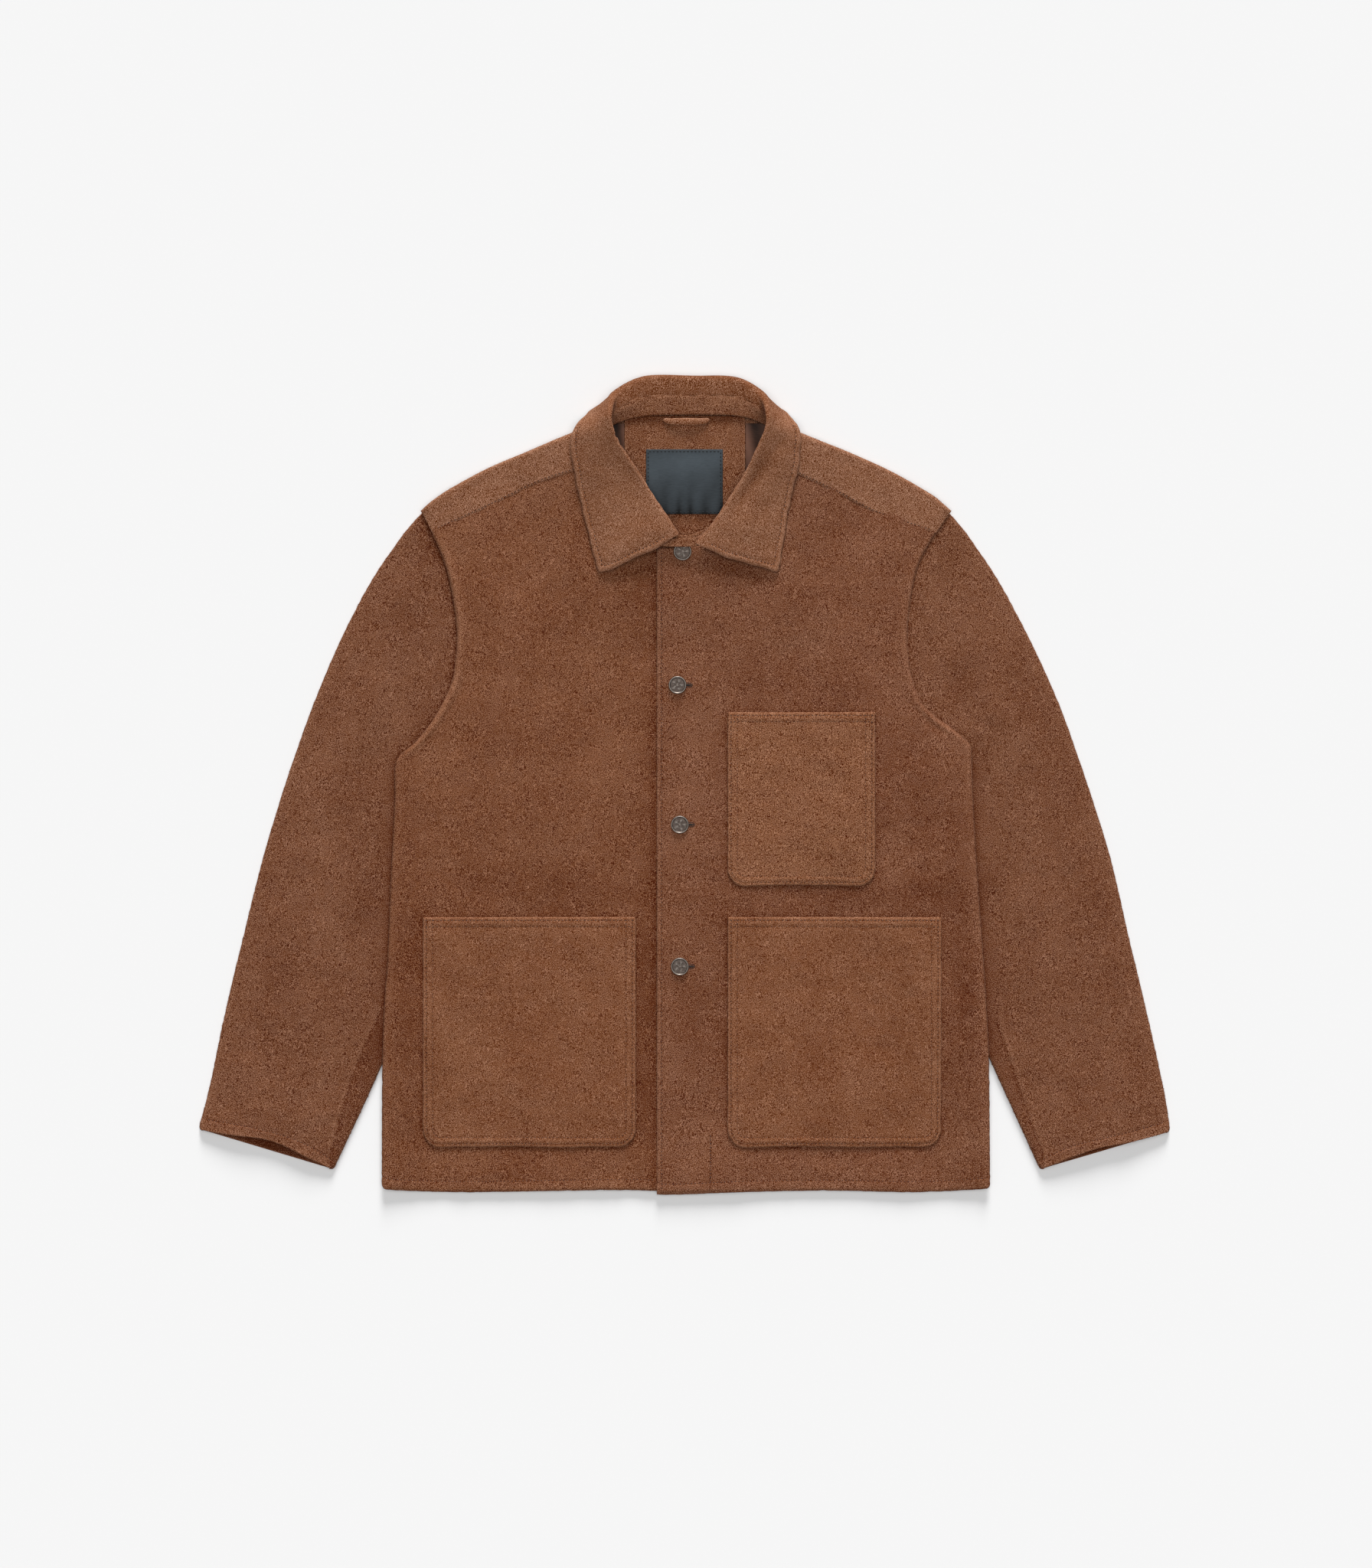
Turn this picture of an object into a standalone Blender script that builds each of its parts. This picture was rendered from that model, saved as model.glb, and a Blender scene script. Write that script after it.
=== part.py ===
"""Suede chore coat laid flat on its back, buttoned, with the sleeves folded down beside the body.

Sizes are in millimetres and become metres when a mesh is made. X runs across the coat, to the
wearer's left, Y runs up the coat to the collar, and Z is up from the surface it lies on.
Left and right are the wearer's.
"""
import math

import bmesh
import bpy
import numpy as np

MM = 0.001

# Driving dimensions
SUEDE = 1.5  # wall of the shell, pockets and facing
COLLAR_WALL = 2.4  # two layers of suede
LINING_WALL = 1.0
LABEL_WALL = 1.0
SEAM_GAP = 0.4  # air between pieces that lie on each other
PATCH_GAP = 0.7  # the same, where both pieces bend
PANEL_GAP = 1.0  # air between back and fronts
NECK_GAP = 2.0  # extra air there where facing and lining lie between
SLEEVE_FOLD = 2.5  # from middle to middle of a sleeve's two walls at its folds
SLEEVE_LOFT = 2.4  # extra height of a sleeve's upper wall beside the body
SLEEVE_BOW = {"right": 22.0, "left": 29.0}  # how far a sleeve head is tucked under the armhole
CUFF_MOUTH = 5.0  # extra opening at the middle of a cuff
CUFF_SET_BACK = 5.5  # how far the upper edge of a cuff lies behind the lower one
OVER_SLEEVE = 4.6  # lift of the body where it lies on a sleeve
OVER_COLLAR = 3.8  # lift of the back where it lies on the collar
OVERLAP_LIFT = 1.9  # lift of the left front over the right one
EDGE_DROP = 2.4  # how far the rolled edge of a front turns down
ARMHOLE_RIDGE = 0.9  # raised roll beside the armhole seam
SHOULDER_LAP = 8.0  # how far a front reaches under the shoulder piece
BACK_INSET = {"side": 3.5, "armhole": 10.0, "hem": 1.5}
PLACKET_EDGE = -26.0  # edge of the left front
UNDER_EDGE = 20.0  # edge of the right front, under the left one
NECK_END_Y = {"right": 224.0, "left": 226.0}  # top of each closing edge
NECK_POINT_Y = 310.0  # where the shoulder seams meet the neck seam; the fronts end below it
BACK_NECK_Y = 346.0  # the neck seam runs on the back above this
ROLL_FRONT_Y = 330.0  # the fall rests on the fronts below this
ARMPIT_Y = 30.0
SHOULDER_SEAM_Y = 240.0  # where the shoulder seam meets the armhole
BUTTON = {"radius": 8.5, "cap": 2.7, "shank": 2.2, "sides": 14}
BUTTONHOLE = {"eye": 2.9, "slit": 0.7, "length": 13.0, "sides": 8}
POCKET_PUFF = 1.2

# Sides of the body and armholes: y, x on the right side, x on the left side
BODY_EDGE = (
    (-389.0, -289.3, 292.2),
    (-264.4, -288.6, 291.0),
    (-205.8, -286.4, 288.2),
    (-164.8, -283.4, 285.6),
    (-91.6, -280.5, 280.2),
    (-18.0, -276.8, 275.9),
    (22.0, -275.4, 274.6),
    (38.0, -259.4, 273.0),
    (50.0, -249.0, 260.0),
    (60.0, -241.5, 244.5),
    (78.4, -230.7, 226.8),
    (98.9, -221.9, 218.3),
    (123.8, -218.3, 213.9),
    (148.7, -217.5, 213.3),
    (181.6, -221.9, 216.8),
    (212.0, -229.2, 224.5),
    (240.0, -241.3, 240.0),
    (261.5, -251.9, 254.9),
)
# Hem: x, y
HEM = ((-290, -384.5), (-277, -386.7), (-211, -388.9), (-76, -386.7), (-26, -391.1), (15, -390.4),
       (52, -388.9), (135, -387.4), (217, -388.9), (272, -386.7), (293, -384.8))
# Fold along the top of each shoulder, from the armhole to the neck: x, y
SHOULDER_FOLD = {
    "right": ((-251.9, 261.5), (-241.0, 271.0), (-222.6, 283.4), (-186.0, 303.2), (-149.4, 318.6),
              (-112.8, 334.0), (-84.0, 345.0)),
    "left": ((254.9, 261.5), (245.0, 270.0), (235.1, 277.6), (198.5, 298.8), (161.9, 315.7),
             (125.2, 330.3), (92.0, 344.0)),
}
# Shoulder seam on the front, from the armhole to the neck: x, y
SHOULDER_SEAM = {
    "right": ((-241.0, 241.0), (-194.1, 262.2), (-142.1, 287.1), (-106.9, 298.8), (-81.0, 307.0)),
    "left": ((240.0, 240.0), (186.8, 257.8), (150.9, 276.1), (107.7, 296.6), (86.0, 306.0)),
}
# Upper, outer fold of each sleeve, from the shoulder to the cuff: x, y
SLEEVE_OUTER = {
    "right": ((-252.6, 260.5), (-268.8, 241.7), (-294.4, 205.1), (-314.9, 168.5), (-332.5, 131.8),
              (-355.2, 76.9), (-380.8, 3.7), (-402.8, -69.6), (-421.1, -142.8), (-438.7, -216.1),
              (-454.1, -289.3), (-464.6, -328.9)),
    "left": ((255.6, 260.5), (271.0, 241.7), (295.9, 205.1), (316.4, 168.5), (334.7, 131.8),
             (358.9, 76.9), (384.5, 3.7), (407.2, -69.6), (424.1, -142.8), (441.6, -216.1),
             (457.8, -289.3), (464.6, -331.0)),
}
# Inner fold of each sleeve, from under the body to the cuff: x, y
SLEEVE_INNER = {
    "right": ((-178.7, -29.3), (-236.0, -153.0), (-288.6, -266.6), (-305.4, -303.9), (-335.4, -367.7)),
    "left": ((186.0, -29.3), (240.0, -148.0), (291.5, -261.5), (309.1, -300.3), (339.8, -367.7)),
}
# Where a sleeve ends under the body: y, x on the right side, x on the left side
SLEEVE_REACH = ((-389.0, -345.0, 350.0), (-29.3, -178.7, 186.0), (60.0, -190.0, 190.0),
                (150.0, -203.0, 200.0), (262.0, -246.0, 248.0))
# Collar sections from the middle of the back to the front end. neck: the neck seam; band: seam of
# stand and fall; roll: the fold line; rim: the outer edge. Heights are over the neck seam, but the
# rim lies on what is under it unless its height over the floor is given. bend: radius of the roll
COLUMNS = ("neck_x", "neck_y", "band_x", "band_y", "band_up", "roll_x", "roll_y", "roll_up",
           "rim_x", "rim_y", "rim_z", "bend")
COLLAR = {
    "right": (
        (9, 353, 9, 370, 1.6, 9, 389.6, -2.3, 9, 334, 1.4, 4.2),
        (-33, 352, -35, 369, 1.9, -38, 389.1, -1.7, -36, 334, 1.4, 4.2),
        (-60, 347, -62, 359, 5.0, -65, 374.5, 4.0, -82, 356, 1.4, 4.0),
        (-76, 337, -74, 343, 9.0, -70, 356, 15.5, -94.5, 351.5, 4.6, 3.2),
        (-81, 322, -77, 327, 9.5, -69.2, 341, 17.5, -106.0, 335.5, 13.6, 3.0),
        (-77, 303, -70, 309, 8.0, -61.0, 322, 15.0, -107.2, 315, None, 2.8),
        (-64, 283, -56, 288, 6.0, -46.5, 301, 13.0, -103.5, 293, None, 2.6),
        (-46, 264, -40, 268, 4.0, -31.5, 277, 10.0, -97.5, 267, None, 2.4),
        (-30, 248, -25, 252, 2.6, -18.5, 258, 7.5, -90.0, 234, None, 2.2),
        (-18, 238, -15, 241, 1.4, -8.5, 242.5, 6.0, -81.0, 203.0, None, 2.0),
    ),
    "left": (
        (9, 353, 9, 370, 1.6, 9, 389.6, -2.3, 9, 334, 1.4, 4.2),
        (48, 352, 50, 369, 1.9, 50, 388.0, -1.7, 50, 334, 1.4, 4.2),
        (70, 347, 71, 359, 5.0, 73, 373.5, 4.0, 90, 355, 1.4, 4.0),
        (85, 337, 83, 343, 9.0, 78.3, 355, 15.5, 100, 350.5, 4.6, 3.2),
        (90, 322, 86, 327, 9.5, 77.5, 339, 17.5, 109.5, 334.5, 13.6, 3.0),
        (83, 303, 78, 308, 8.0, 67.5, 315.5, 15.0, 109.5, 315, None, 2.8),
        (71, 283, 66, 287, 6.0, 57.5, 295, 13.0, 106.0, 294, None, 2.6),
        (56, 264, 51, 267, 4.0, 43.0, 272.5, 10.0, 100.5, 269, None, 2.4),
        (36, 246, 33, 248, 2.6, 27.0, 248.5, 7.5, 95.0, 240, None, 2.2),
        (21, 230, 19, 236, 2.4, 12.5, 231.5, 7.5, 89.5, 204.5, None, 2.0),
    ),
}
BAND_SEAM = {"back": 0.8, "front": 3.6}  # how far the stand ends below the start of the fall
FALL_SWELL = 3.0  # how far the fall rounds out between roll and rim
# Free ends of the stand, the left one over the top button: x and y at the neck seam, x and y at the
# upper edge, lift over the front
BAND_ENDS = {"right": (12.0, 234.5, 12.0, 243.5, 0.0), "left": (-11.0, 226.0, -11.0, 235.0, 5.2)}
# Patch pockets: x of both sides, y of top and bottom, bottom corner radius
POCKETS = {
    "pocket_lower_right": (-249.0, -46.9, -126.7, -345.7, 17.0),
    "pocket_lower_left": (41.7, 244.6, -126.7, -345.7, 17.0),
    "pocket_chest": (41.7, 181.6, 68.8, -95.9, 16.0),
}
# Buttons from the top: x, y, tilt in degrees
BUTTONS = ((-1.8, 222.6, 5.0), (-6.6, 95.2, 0.0), (-4.4, -38.1, 0.0), (-4.4, -173.6, 0.0))
# Soft folds: x, y of the middle, direction in degrees, half length, half width, height
FOLDS = (
    (-352, 20, 68, 150, 30, 1.5),
    (-395, -190, 74, 120, 26, 1.3),
    (-330, 120, 55, 70, 24, 1.2),
    (352, 10, 112, 150, 30, 1.5),
    (398, -200, 106, 120, 26, 1.3),
    (332, 125, 125, 70, 24, 1.2),
    (-150, 130, 80, 130, 40, 1.0),
    (-215, 10, 60, 70, 30, 1.0),
    (140, 160, 98, 110, 40, 1.0),
    (225, 0, 118, 80, 30, 1.0),
    (-100, -60, 95, 90, 45, 0.8),
)
FACING = {"x": (-57.1, 57.9), "y": (352.0, 190.0)}
LINING_X = {"right": (-57.6, -74.0), "left": (58.4, 82.0)}
LINING_Y = (345.0, 190.0)
LABEL = {"x": (-36.6, 36.6), "y": (320.0, 258.5), "ripple": 0.6, "waves": 3.5}
LOOP = {"x": (-20.5, 24.2), "y": (350.2, 343.6), "arch": 3.0}

# Grid lines
ROW_Y = (-389, -345, -300, -255, -210, -165, -120, -75, -30, 5, 24, 38, 50, 62, 82, 108, 140, 176,
         210, 240)
BACK_ROW_Y = (-389, -360, -320, -275, -230, -185, -140, -95, -50, -5, 22, 40, 62, 85, 110, 150, 195,
              230, 255)
EDGE_STEPS = (0.0, 1.5, 4.0, 11.0)  # grid lines beside the rolled edge of a front
SIDES = {"right": -1, "left": 1}


def smoothstep(t):
    """Rise from 0 to 1 with level ends."""
    t = np.clip(t, 0.0, 1.0)
    return t * t * (3.0 - 2.0 * t)


def fade(value, start, width):
    return smoothstep((np.asarray(value, float) - start) / width)


def smooth_path(points, per_span=10):
    """Catmull-Rom curve through the points, as a dense polyline."""
    knots = np.asarray(points, float)
    padded = np.vstack([2 * knots[0] - knots[1], knots, 2 * knots[-1] - knots[-2]])
    t = np.linspace(0.0, 1.0, per_span, endpoint=False)[:, None]
    spans = []
    for a, b, c, d in zip(padded, padded[1:], padded[2:], padded[3:]):
        cubic = 2 * b + (c - a) * t + (2 * a - 5 * b + 4 * c - d) * t**2 + (3 * b - a - 3 * c + d) * t**3
        spans.append(cubic / 2)
    return np.vstack(spans + [knots[-1:]])


def at_length(path, fractions):
    """Points at the given fractions of a polyline's length."""
    steps = np.linalg.norm(np.diff(path, axis=0), axis=1)
    length = np.concatenate([[0.0], np.cumsum(steps)])
    where = np.asarray(fractions, float) * length[-1]
    return np.stack([np.interp(where, length, column) for column in path.T], axis=-1)


def table_curve(table, column):
    """Smooth curve of one column of a table against its first, growing, column."""
    path = smooth_path([(row[0], row[column]) for row in table])
    return lambda value: np.interp(value, path[:, 0], path[:, 1])


def straight_curve(table, column):
    keys = [row[0] for row in table]
    values = [row[column] for row in table]
    return lambda value: np.interp(value, keys, values)


EDGE_X = {"right": table_curve(BODY_EDGE, 1), "left": table_curve(BODY_EDGE, 2)}
REACH_X = {"right": straight_curve(SLEEVE_REACH, 1), "left": straight_curve(SLEEVE_REACH, 2)}
HEM_Y = table_curve(HEM, 1)


# Heights of the layers, as functions of the place on the plan

def soft_folds(x, y):
    """Long low ridges: a bell across each fold's direction and another along it."""
    height = np.zeros(np.broadcast(x, y).shape)
    for fold_x, fold_y, degrees, half_length, half_width, rise in FOLDS:
        angle = math.radians(degrees)
        along = (x - fold_x) * math.cos(angle) + (y - fold_y) * math.sin(angle)
        across = (y - fold_y) * math.cos(angle) - (x - fold_x) * math.sin(angle)
        height = height + rise * np.exp(-((along / half_length) ** 2) - (across / half_width) ** 2)
    return height


def back_under(x, y):
    """Underside of the back: on the floor, lifted over the sleeves and the collar's back."""
    from_right = 1.0 - fade(x - REACH_X["right"](y), 15.0, 90.0)
    from_left = 1.0 - fade(REACH_X["left"](y) - x, 15.0, 90.0)
    sleeve = OVER_SLEEVE * np.maximum(from_right, from_left)
    collar = OVER_COLLAR * fade(y, 235.0, 95.0) * (1.0 - fade(np.abs(x), 120.0, 90.0))
    return (sleeve**4 + collar**4) ** 0.25


def inner_top(x, y):
    """Top of the back, which facing and lining lie on."""
    return back_under(x, y) + SUEDE


def front_under(x, y):
    """Underside of a front."""
    neck = fade(y, 120.0, 60.0) * (1.0 - fade(np.abs(x), 105.0, 60.0))
    return inner_top(x, y) + PANEL_GAP + NECK_GAP * neck + soft_folds(x, y)


def left_front_under(x, y):
    """Underside of the left front, which climbs over the edge of the right one."""
    return front_under(x, y) + OVERLAP_LIFT * (1.0 - fade(x, UNDER_EDGE + 5.0, 60.0))


def flap_under(x, y):
    """Underside of the shoulder piece, on top of the fronts."""
    return front_under(x, y) + SUEDE + SEAM_GAP


def outer_top(x, y):
    """Top of whatever the collar rests on."""
    seam_y = np.where(x < 0, SEAM_Y["right"](x), SEAM_Y["left"](x))
    on_flap = fade(y - seam_y, -14.0, 14.0)
    front = np.where(x > PLACKET_EDGE - 10.0, left_front_under(x, y), front_under(x, y)) + SUEDE
    return front + on_flap * (SUEDE + SEAM_GAP)


def seam_curve(side):
    path = smooth_path(SHOULDER_SEAM[side])
    order = np.argsort(path[:, 0])
    return lambda x: np.interp(x, path[order, 0], path[order, 1])


SEAM_Y = {side: seam_curve(side) for side in SIDES}


# Mesh helpers

def make_material(name, colour, roughness, metallic=0.0):
    material = bpy.data.materials.new(name)
    material.use_nodes = True
    shader = material.node_tree.nodes["Principled BSDF"]
    shader.inputs["Base Color"].default_value = (*colour, 1.0)
    shader.inputs["Roughness"].default_value = roughness
    shader.inputs["Metallic"].default_value = metallic
    return material


def add_object(name, vertices, faces, material):
    mesh = bpy.data.meshes.new(name)
    mesh.from_pydata([tuple(v) for v in np.asarray(vertices, float) * MM], [], faces)
    mesh.materials.append(material)
    mesh.shade_smooth()
    thing = bpy.data.objects.new(name, mesh)
    bpy.context.scene.collection.objects.link(thing)
    return thing


def add_wall(name, grid, wall, material, closed=False):
    """Cloth wall round a grid of middle points. Grid places that hold NaN are left out."""
    rows, columns = grid.shape[:2]
    used = ~np.isnan(grid[..., 2])
    number = np.full((rows, columns), -1)
    number[used] = np.arange(used.sum())
    faces = []
    for row in range(rows - 1):
        for column in range(columns if closed else columns - 1):
            beside = (column + 1) % columns
            corners = (number[row, column], number[row, beside], number[row + 1, beside],
                       number[row + 1, column])
            if min(corners) >= 0:
                faces.append(tuple(int(corner) for corner in corners))
    thing = add_object(name, grid[used], faces, material)
    solid = thing.modifiers.new("wall", "SOLIDIFY")
    solid.thickness = wall * MM
    solid.offset = 0.0
    solid.use_quality_normals = True
    return thing


def coons(bottom, top, left, right):
    """Plan grid filled in between four edges. Rows run up, columns from left to right."""
    r = side_fractions(left)[:, None, None]
    c = row_fractions(bottom)[None, :, None]
    ruled_up = (1 - r) * bottom[None] + r * top[None]
    ruled_across = (1 - c) * left[:, None] + c * right[:, None]
    corners = ((1 - r) * (1 - c) * bottom[0] + (1 - r) * c * bottom[-1]
               + r * (1 - c) * top[0] + r * c * top[-1])
    return ruled_up + ruled_across - corners


def side_fractions(edge):
    return (edge[:, 1] - edge[0, 1]) / (edge[-1, 1] - edge[0, 1])


def row_fractions(edge):
    return (edge[:, 0] - edge[0, 0]) / (edge[-1, 0] - edge[0, 0])


def unit(vector):
    return vector / np.linalg.norm(vector, axis=1)[:, None]


def with_height(plan, height):
    return np.concatenate([plan, height[..., None]], axis=-1)


# Pieces

def make_front(name, side, inner_x, under, columns, material):
    """One front: grid from the rolled outer edge to the closing edge."""
    sign = SIDES[side]
    y = np.array(ROW_Y, float)
    outer = np.stack([EDGE_X[side](y) - sign * SUEDE / 2, y], axis=-1)
    outer[0, 1] = HEM_Y(outer[0, 0])
    width = abs(inner_x - outer[0, 0])
    steps = np.concatenate([EDGE_STEPS, np.linspace(EDGE_STEPS[-1], width, columns)[1:]]) / width
    bottom_x = outer[0, 0] - sign * steps * width
    bottom = np.stack([bottom_x, HEM_Y(bottom_x)], axis=-1)
    seam = smooth_path(SHOULDER_SEAM[side]) + np.array([0.0, SHOULDER_LAP])
    seam[0] = outer[-1]
    sections = [row for row in COLLAR[side] if row[1] < NECK_POINT_Y]
    neck = smooth_path([(row[0], row[1]) for row in sections] + [(inner_x, NECK_END_Y[side])])
    top = at_length(np.vstack([seam, neck]), steps)
    fractions = side_fractions(outer)
    inner = np.stack([np.full(len(y), inner_x), 0 * y], axis=-1)
    inner[:, 1] = bottom[-1, 1] + fractions * (top[-1, 1] - bottom[-1, 1])
    plan = coons(bottom, top, outer, inner)
    height = under(plan[..., 0], plan[..., 1]) + SUEDE / 2
    height[:, 0] -= EDGE_DROP
    height[:, 1] -= EDGE_DROP * 0.3
    ridge = fade(y, ARMPIT_Y - 10.0, 40.0) * (1.0 - fade(y, SHOULDER_SEAM_Y - 50.0, 30.0))
    height[:, 2:4] += ARMHOLE_RIDGE * ridge[:, None]
    return add_wall(name, with_height(plan, height)[:, ::-sign], SUEDE, material)


def shoulder_lines(side, shares):
    """Along one shoulder: the line the fold turns round, the way out from it, the fold's radius and
    the shoulder seam."""
    fold = at_length(smooth_path(SHOULDER_FOLD[side]), shares)
    seam = at_length(smooth_path(SHOULDER_SEAM[side]), shares)
    tangent = np.gradient(fold, axis=0)
    outward = unit(np.stack([tangent[:, 1], -tangent[:, 0]], axis=-1) * SIDES[side])
    x, y = fold.T
    radius = (flap_under(x, y) - back_under(x, y)) / 2
    axis = fold - outward * (radius + SUEDE / 2)[:, None]
    return axis, outward, radius, seam


def make_back(material):
    """Back with both shoulder pieces, which fold forward over the shoulders."""
    y = np.array(BACK_ROW_Y, float)
    inset = BACK_INSET["side"] + (BACK_INSET["armhole"] - BACK_INSET["side"]) * fade(y, 0.0, 60.0)
    inset = inset - (inset - SUEDE) * fade(y, 215.0, 40.0)
    shares = np.array([0.0, 0.025, 0.08, 0.25, 0.42, 0.6, 0.8, 1.0])
    neck_cells = 8
    shoulders = {side: shoulder_lines(side, shares) for side in SIDES}
    right_end, left_end = shoulders["right"][0], shoulders["left"][0]
    neck = [(row[0], row[1] + 1.0) for row in COLLAR["right"][2::-1] + COLLAR["left"][1:3]]
    neck_path = smooth_path([right_end[-1]] + neck + [left_end[-1]])
    neck_points = at_length(neck_path, np.linspace(0.0, 1.0, neck_cells + 1))
    top = np.vstack([right_end, neck_points[1:-1], left_end[::-1]])
    right_edge = np.stack([EDGE_X["right"](y) + inset, y], axis=-1)
    left_edge = np.stack([EDGE_X["left"](y) - inset, y], axis=-1)
    right_edge[-1] = top[0]
    left_edge[-1] = top[-1]
    run = np.concatenate([[0.0], np.cumsum(np.linalg.norm(np.diff(top, axis=0), axis=1))])
    bottom_x = right_edge[0, 0] + (left_edge[0, 0] - right_edge[0, 0]) * run / run[-1]
    bottom = np.stack([bottom_x, HEM_Y(bottom_x) + BACK_INSET["hem"]], axis=-1)
    right_edge[0] = bottom[0]
    left_edge[0] = bottom[-1]
    plan = coons(bottom, top, right_edge, left_edge)
    flat = with_height(plan, back_under(plan[..., 0], plan[..., 1]) + SUEDE / 2)
    turns = np.radians([-45.0, 0.0, 45.0, 90.0])
    down = (0.45, 1.0)
    flaps = np.full((len(turns) + len(down), flat.shape[1], 3), np.nan)
    count = len(shares)
    drop = np.zeros(count)
    drop[:2] = EDGE_DROP, 0.15 * EDGE_DROP
    for side, (axis, outward, radius, seam) in shoulders.items():
        line = slice(0, count) if side == "right" else slice(-1, -count - 1, -1)
        middle = back_under(*axis.T) + SUEDE / 2 + radius
        for row, turn in enumerate(turns):
            place = axis + outward * (radius * math.cos(turn))[:, None]
            height = middle + radius * math.sin(turn) - drop * (1 + math.sin(turn)) / 2
            flaps[row, line] = with_height(place, height)
        for row, part in enumerate(down, start=len(turns)):
            place = axis + (seam - axis) * part
            height = flap_under(*place.T) + SUEDE / 2 - drop * (1.1 - 0.9 * part)
            flaps[row, line] = with_height(place, height)
    return add_wall("back", np.concatenate([flat, flaps]), SUEDE, material)


def make_sleeve(name, side, material):
    """Flattened tube from the armhole to the cuff."""
    sign = SIDES[side]
    fractions = np.array([0, .05, .1, .16, .22, .29, .36, .44, .52, .6, .68, .76, .84, .91, .965, 1.0])
    outer = at_length(smooth_path(SLEEVE_OUTER[side]), fractions)
    inner = at_length(smooth_path(SLEEVE_INNER[side]), fractions)
    width = np.linalg.norm(inner - outer, axis=1)
    across = (inner - outer) / width[:, None]
    toward_body = np.stack([across[:, 1], -across[:, 0]], axis=-1) * sign
    radius = SLEEVE_FOLD / 2
    margin = (radius + SUEDE / 2) / width
    bow = SLEEVE_BOW[side] * (1 - fractions) ** 3
    near_cuff = fade(fractions, 0.72, 0.28) ** 2

    def line(share, lift):
        """One line along the sleeve at a share of its width, on the lower or the upper wall."""
        s = margin + (1 - 2 * margin) * share
        hump = np.sin(np.pi * s)
        plan = outer + (inner - outer) * s[:, None] + toward_body * (bow * hump**0.5)[:, None]
        along = np.gradient(plan, axis=0)
        along /= np.linalg.norm(along, axis=1)[:, None]
        height = np.full(len(s), SUEDE / 2)
        if lift:
            plan = plan - along * (CUFF_SET_BACK * hump * near_cuff)[:, None]
            outside = (plan[:, 0] - EDGE_X[side](plan[:, 1])) * sign
            loft = SLEEVE_LOFT * fade(outside, 12.0, 60.0) + soft_folds(plan[:, 0], plan[:, 1]) \
                * fade(outside, 12.0, 40.0)
            height = height + SLEEVE_FOLD + (loft + CUFF_MOUTH * near_cuff) * hump**0.8
        return with_height(plan, height)

    def turn(share, start):
        """Lines round a fold, from the wall above to the wall below or back."""
        lines = []
        edge = line(share, False)
        outward = -across if share == 0 else across
        for degrees in (45.0, 0.0, -45.0):
            angle = math.radians(degrees * start)
            place = edge[:, :2] + outward * radius * math.cos(angle)
            lines.append(with_height(place, edge[:, 2] + radius + radius * math.sin(angle)))
        return lines

    upper = [line(share, True) for share in (0.0, 0.1, 0.25, 0.42, 0.58, 0.75, 0.9, 1.0)]
    lower = [line(share, False) for share in (1.0, 0.75, 0.5, 0.25, 0.0)]
    ring = upper + turn(1, 1) + lower + turn(0, -1)
    grid = np.stack(ring, axis=1)[:, ::sign]
    return add_wall(name, grid, SUEDE, material, closed=True)


def collar_sections():
    """Smooth sections round the neck, from the right front end to the left one."""
    rows = [dict(zip(COLUMNS, row)) for row in COLLAR["right"][::-1] + COLLAR["left"][1:]]
    sections = []
    for row in rows:
        neck = np.array([row["neck_x"], row["neck_y"], 0.0])
        on_back = row["neck_y"] > BACK_NECK_Y
        below = inner_top(neck[0], neck[1]) + PATCH_GAP + SUEDE if on_back else outer_top(neck[0], neck[1])
        neck[2] = below + SEAM_GAP + COLLAR_WALL / 2
        band = np.array([row["band_x"], row["band_y"], neck[2] + row["band_up"]])
        roll = np.array([row["roll_x"], row["roll_y"], neck[2] + row["roll_up"]])
        rim = np.array([row["rim_x"], row["rim_y"], row["rim_z"] or 0.0])
        if row["rim_z"] is None:
            rim[2] = outer_top(rim[0], rim[1]) + PATCH_GAP + COLLAR_WALL / 2
        sections.append(np.concatenate([neck, band, roll, rim, [row["bend"]]]))
    return np.array(sections)


def fall_lines():
    """Lines along the fall: from the stand up round the roll and out to the rim."""
    dense = smooth_path(collar_sections(), 2)
    band, roll, rim, bend = dense[:, 3:6], dense[:, 6:9], dense[:, 9:12], dense[:, 12:13]
    to_band = unit(band - roll)
    to_rim = unit(rim - roll)
    inward = unit(to_band + to_rim)
    over = to_rim - to_band
    over = unit(over - inward * np.sum(over * inward, axis=1)[:, None])
    centre = roll + inward * bend
    lines = [band]
    for degrees in (-80.0, -35.0, 10.0, 55.0, 90.0):
        angle = math.radians(degrees)
        lines.append(centre + bend * (over * math.sin(angle) - inward * math.cos(angle)))
    start = lines[-1]
    swell = FALL_SWELL * fade(over[:, 2:], 0.1, 0.5)
    for part in (0.33, 0.67, 1.0):
        place = start + (rim - start) * part + over * swell * (part * (1 - part) * 4)
        rests = outer_top(place[:, 0], place[:, 1]) + PATCH_GAP + COLLAR_WALL / 2
        in_front = dense[:, 1] < ROLL_FRONT_Y
        place[:, 2] = np.where(in_front, np.maximum(place[:, 2], rests), place[:, 2])
        lines.append(place)
    return lines


def make_fall(material):
    """Collar fall."""
    return add_wall("collar_fall", np.stack(fall_lines(), axis=1), COLLAR_WALL, material)


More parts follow.
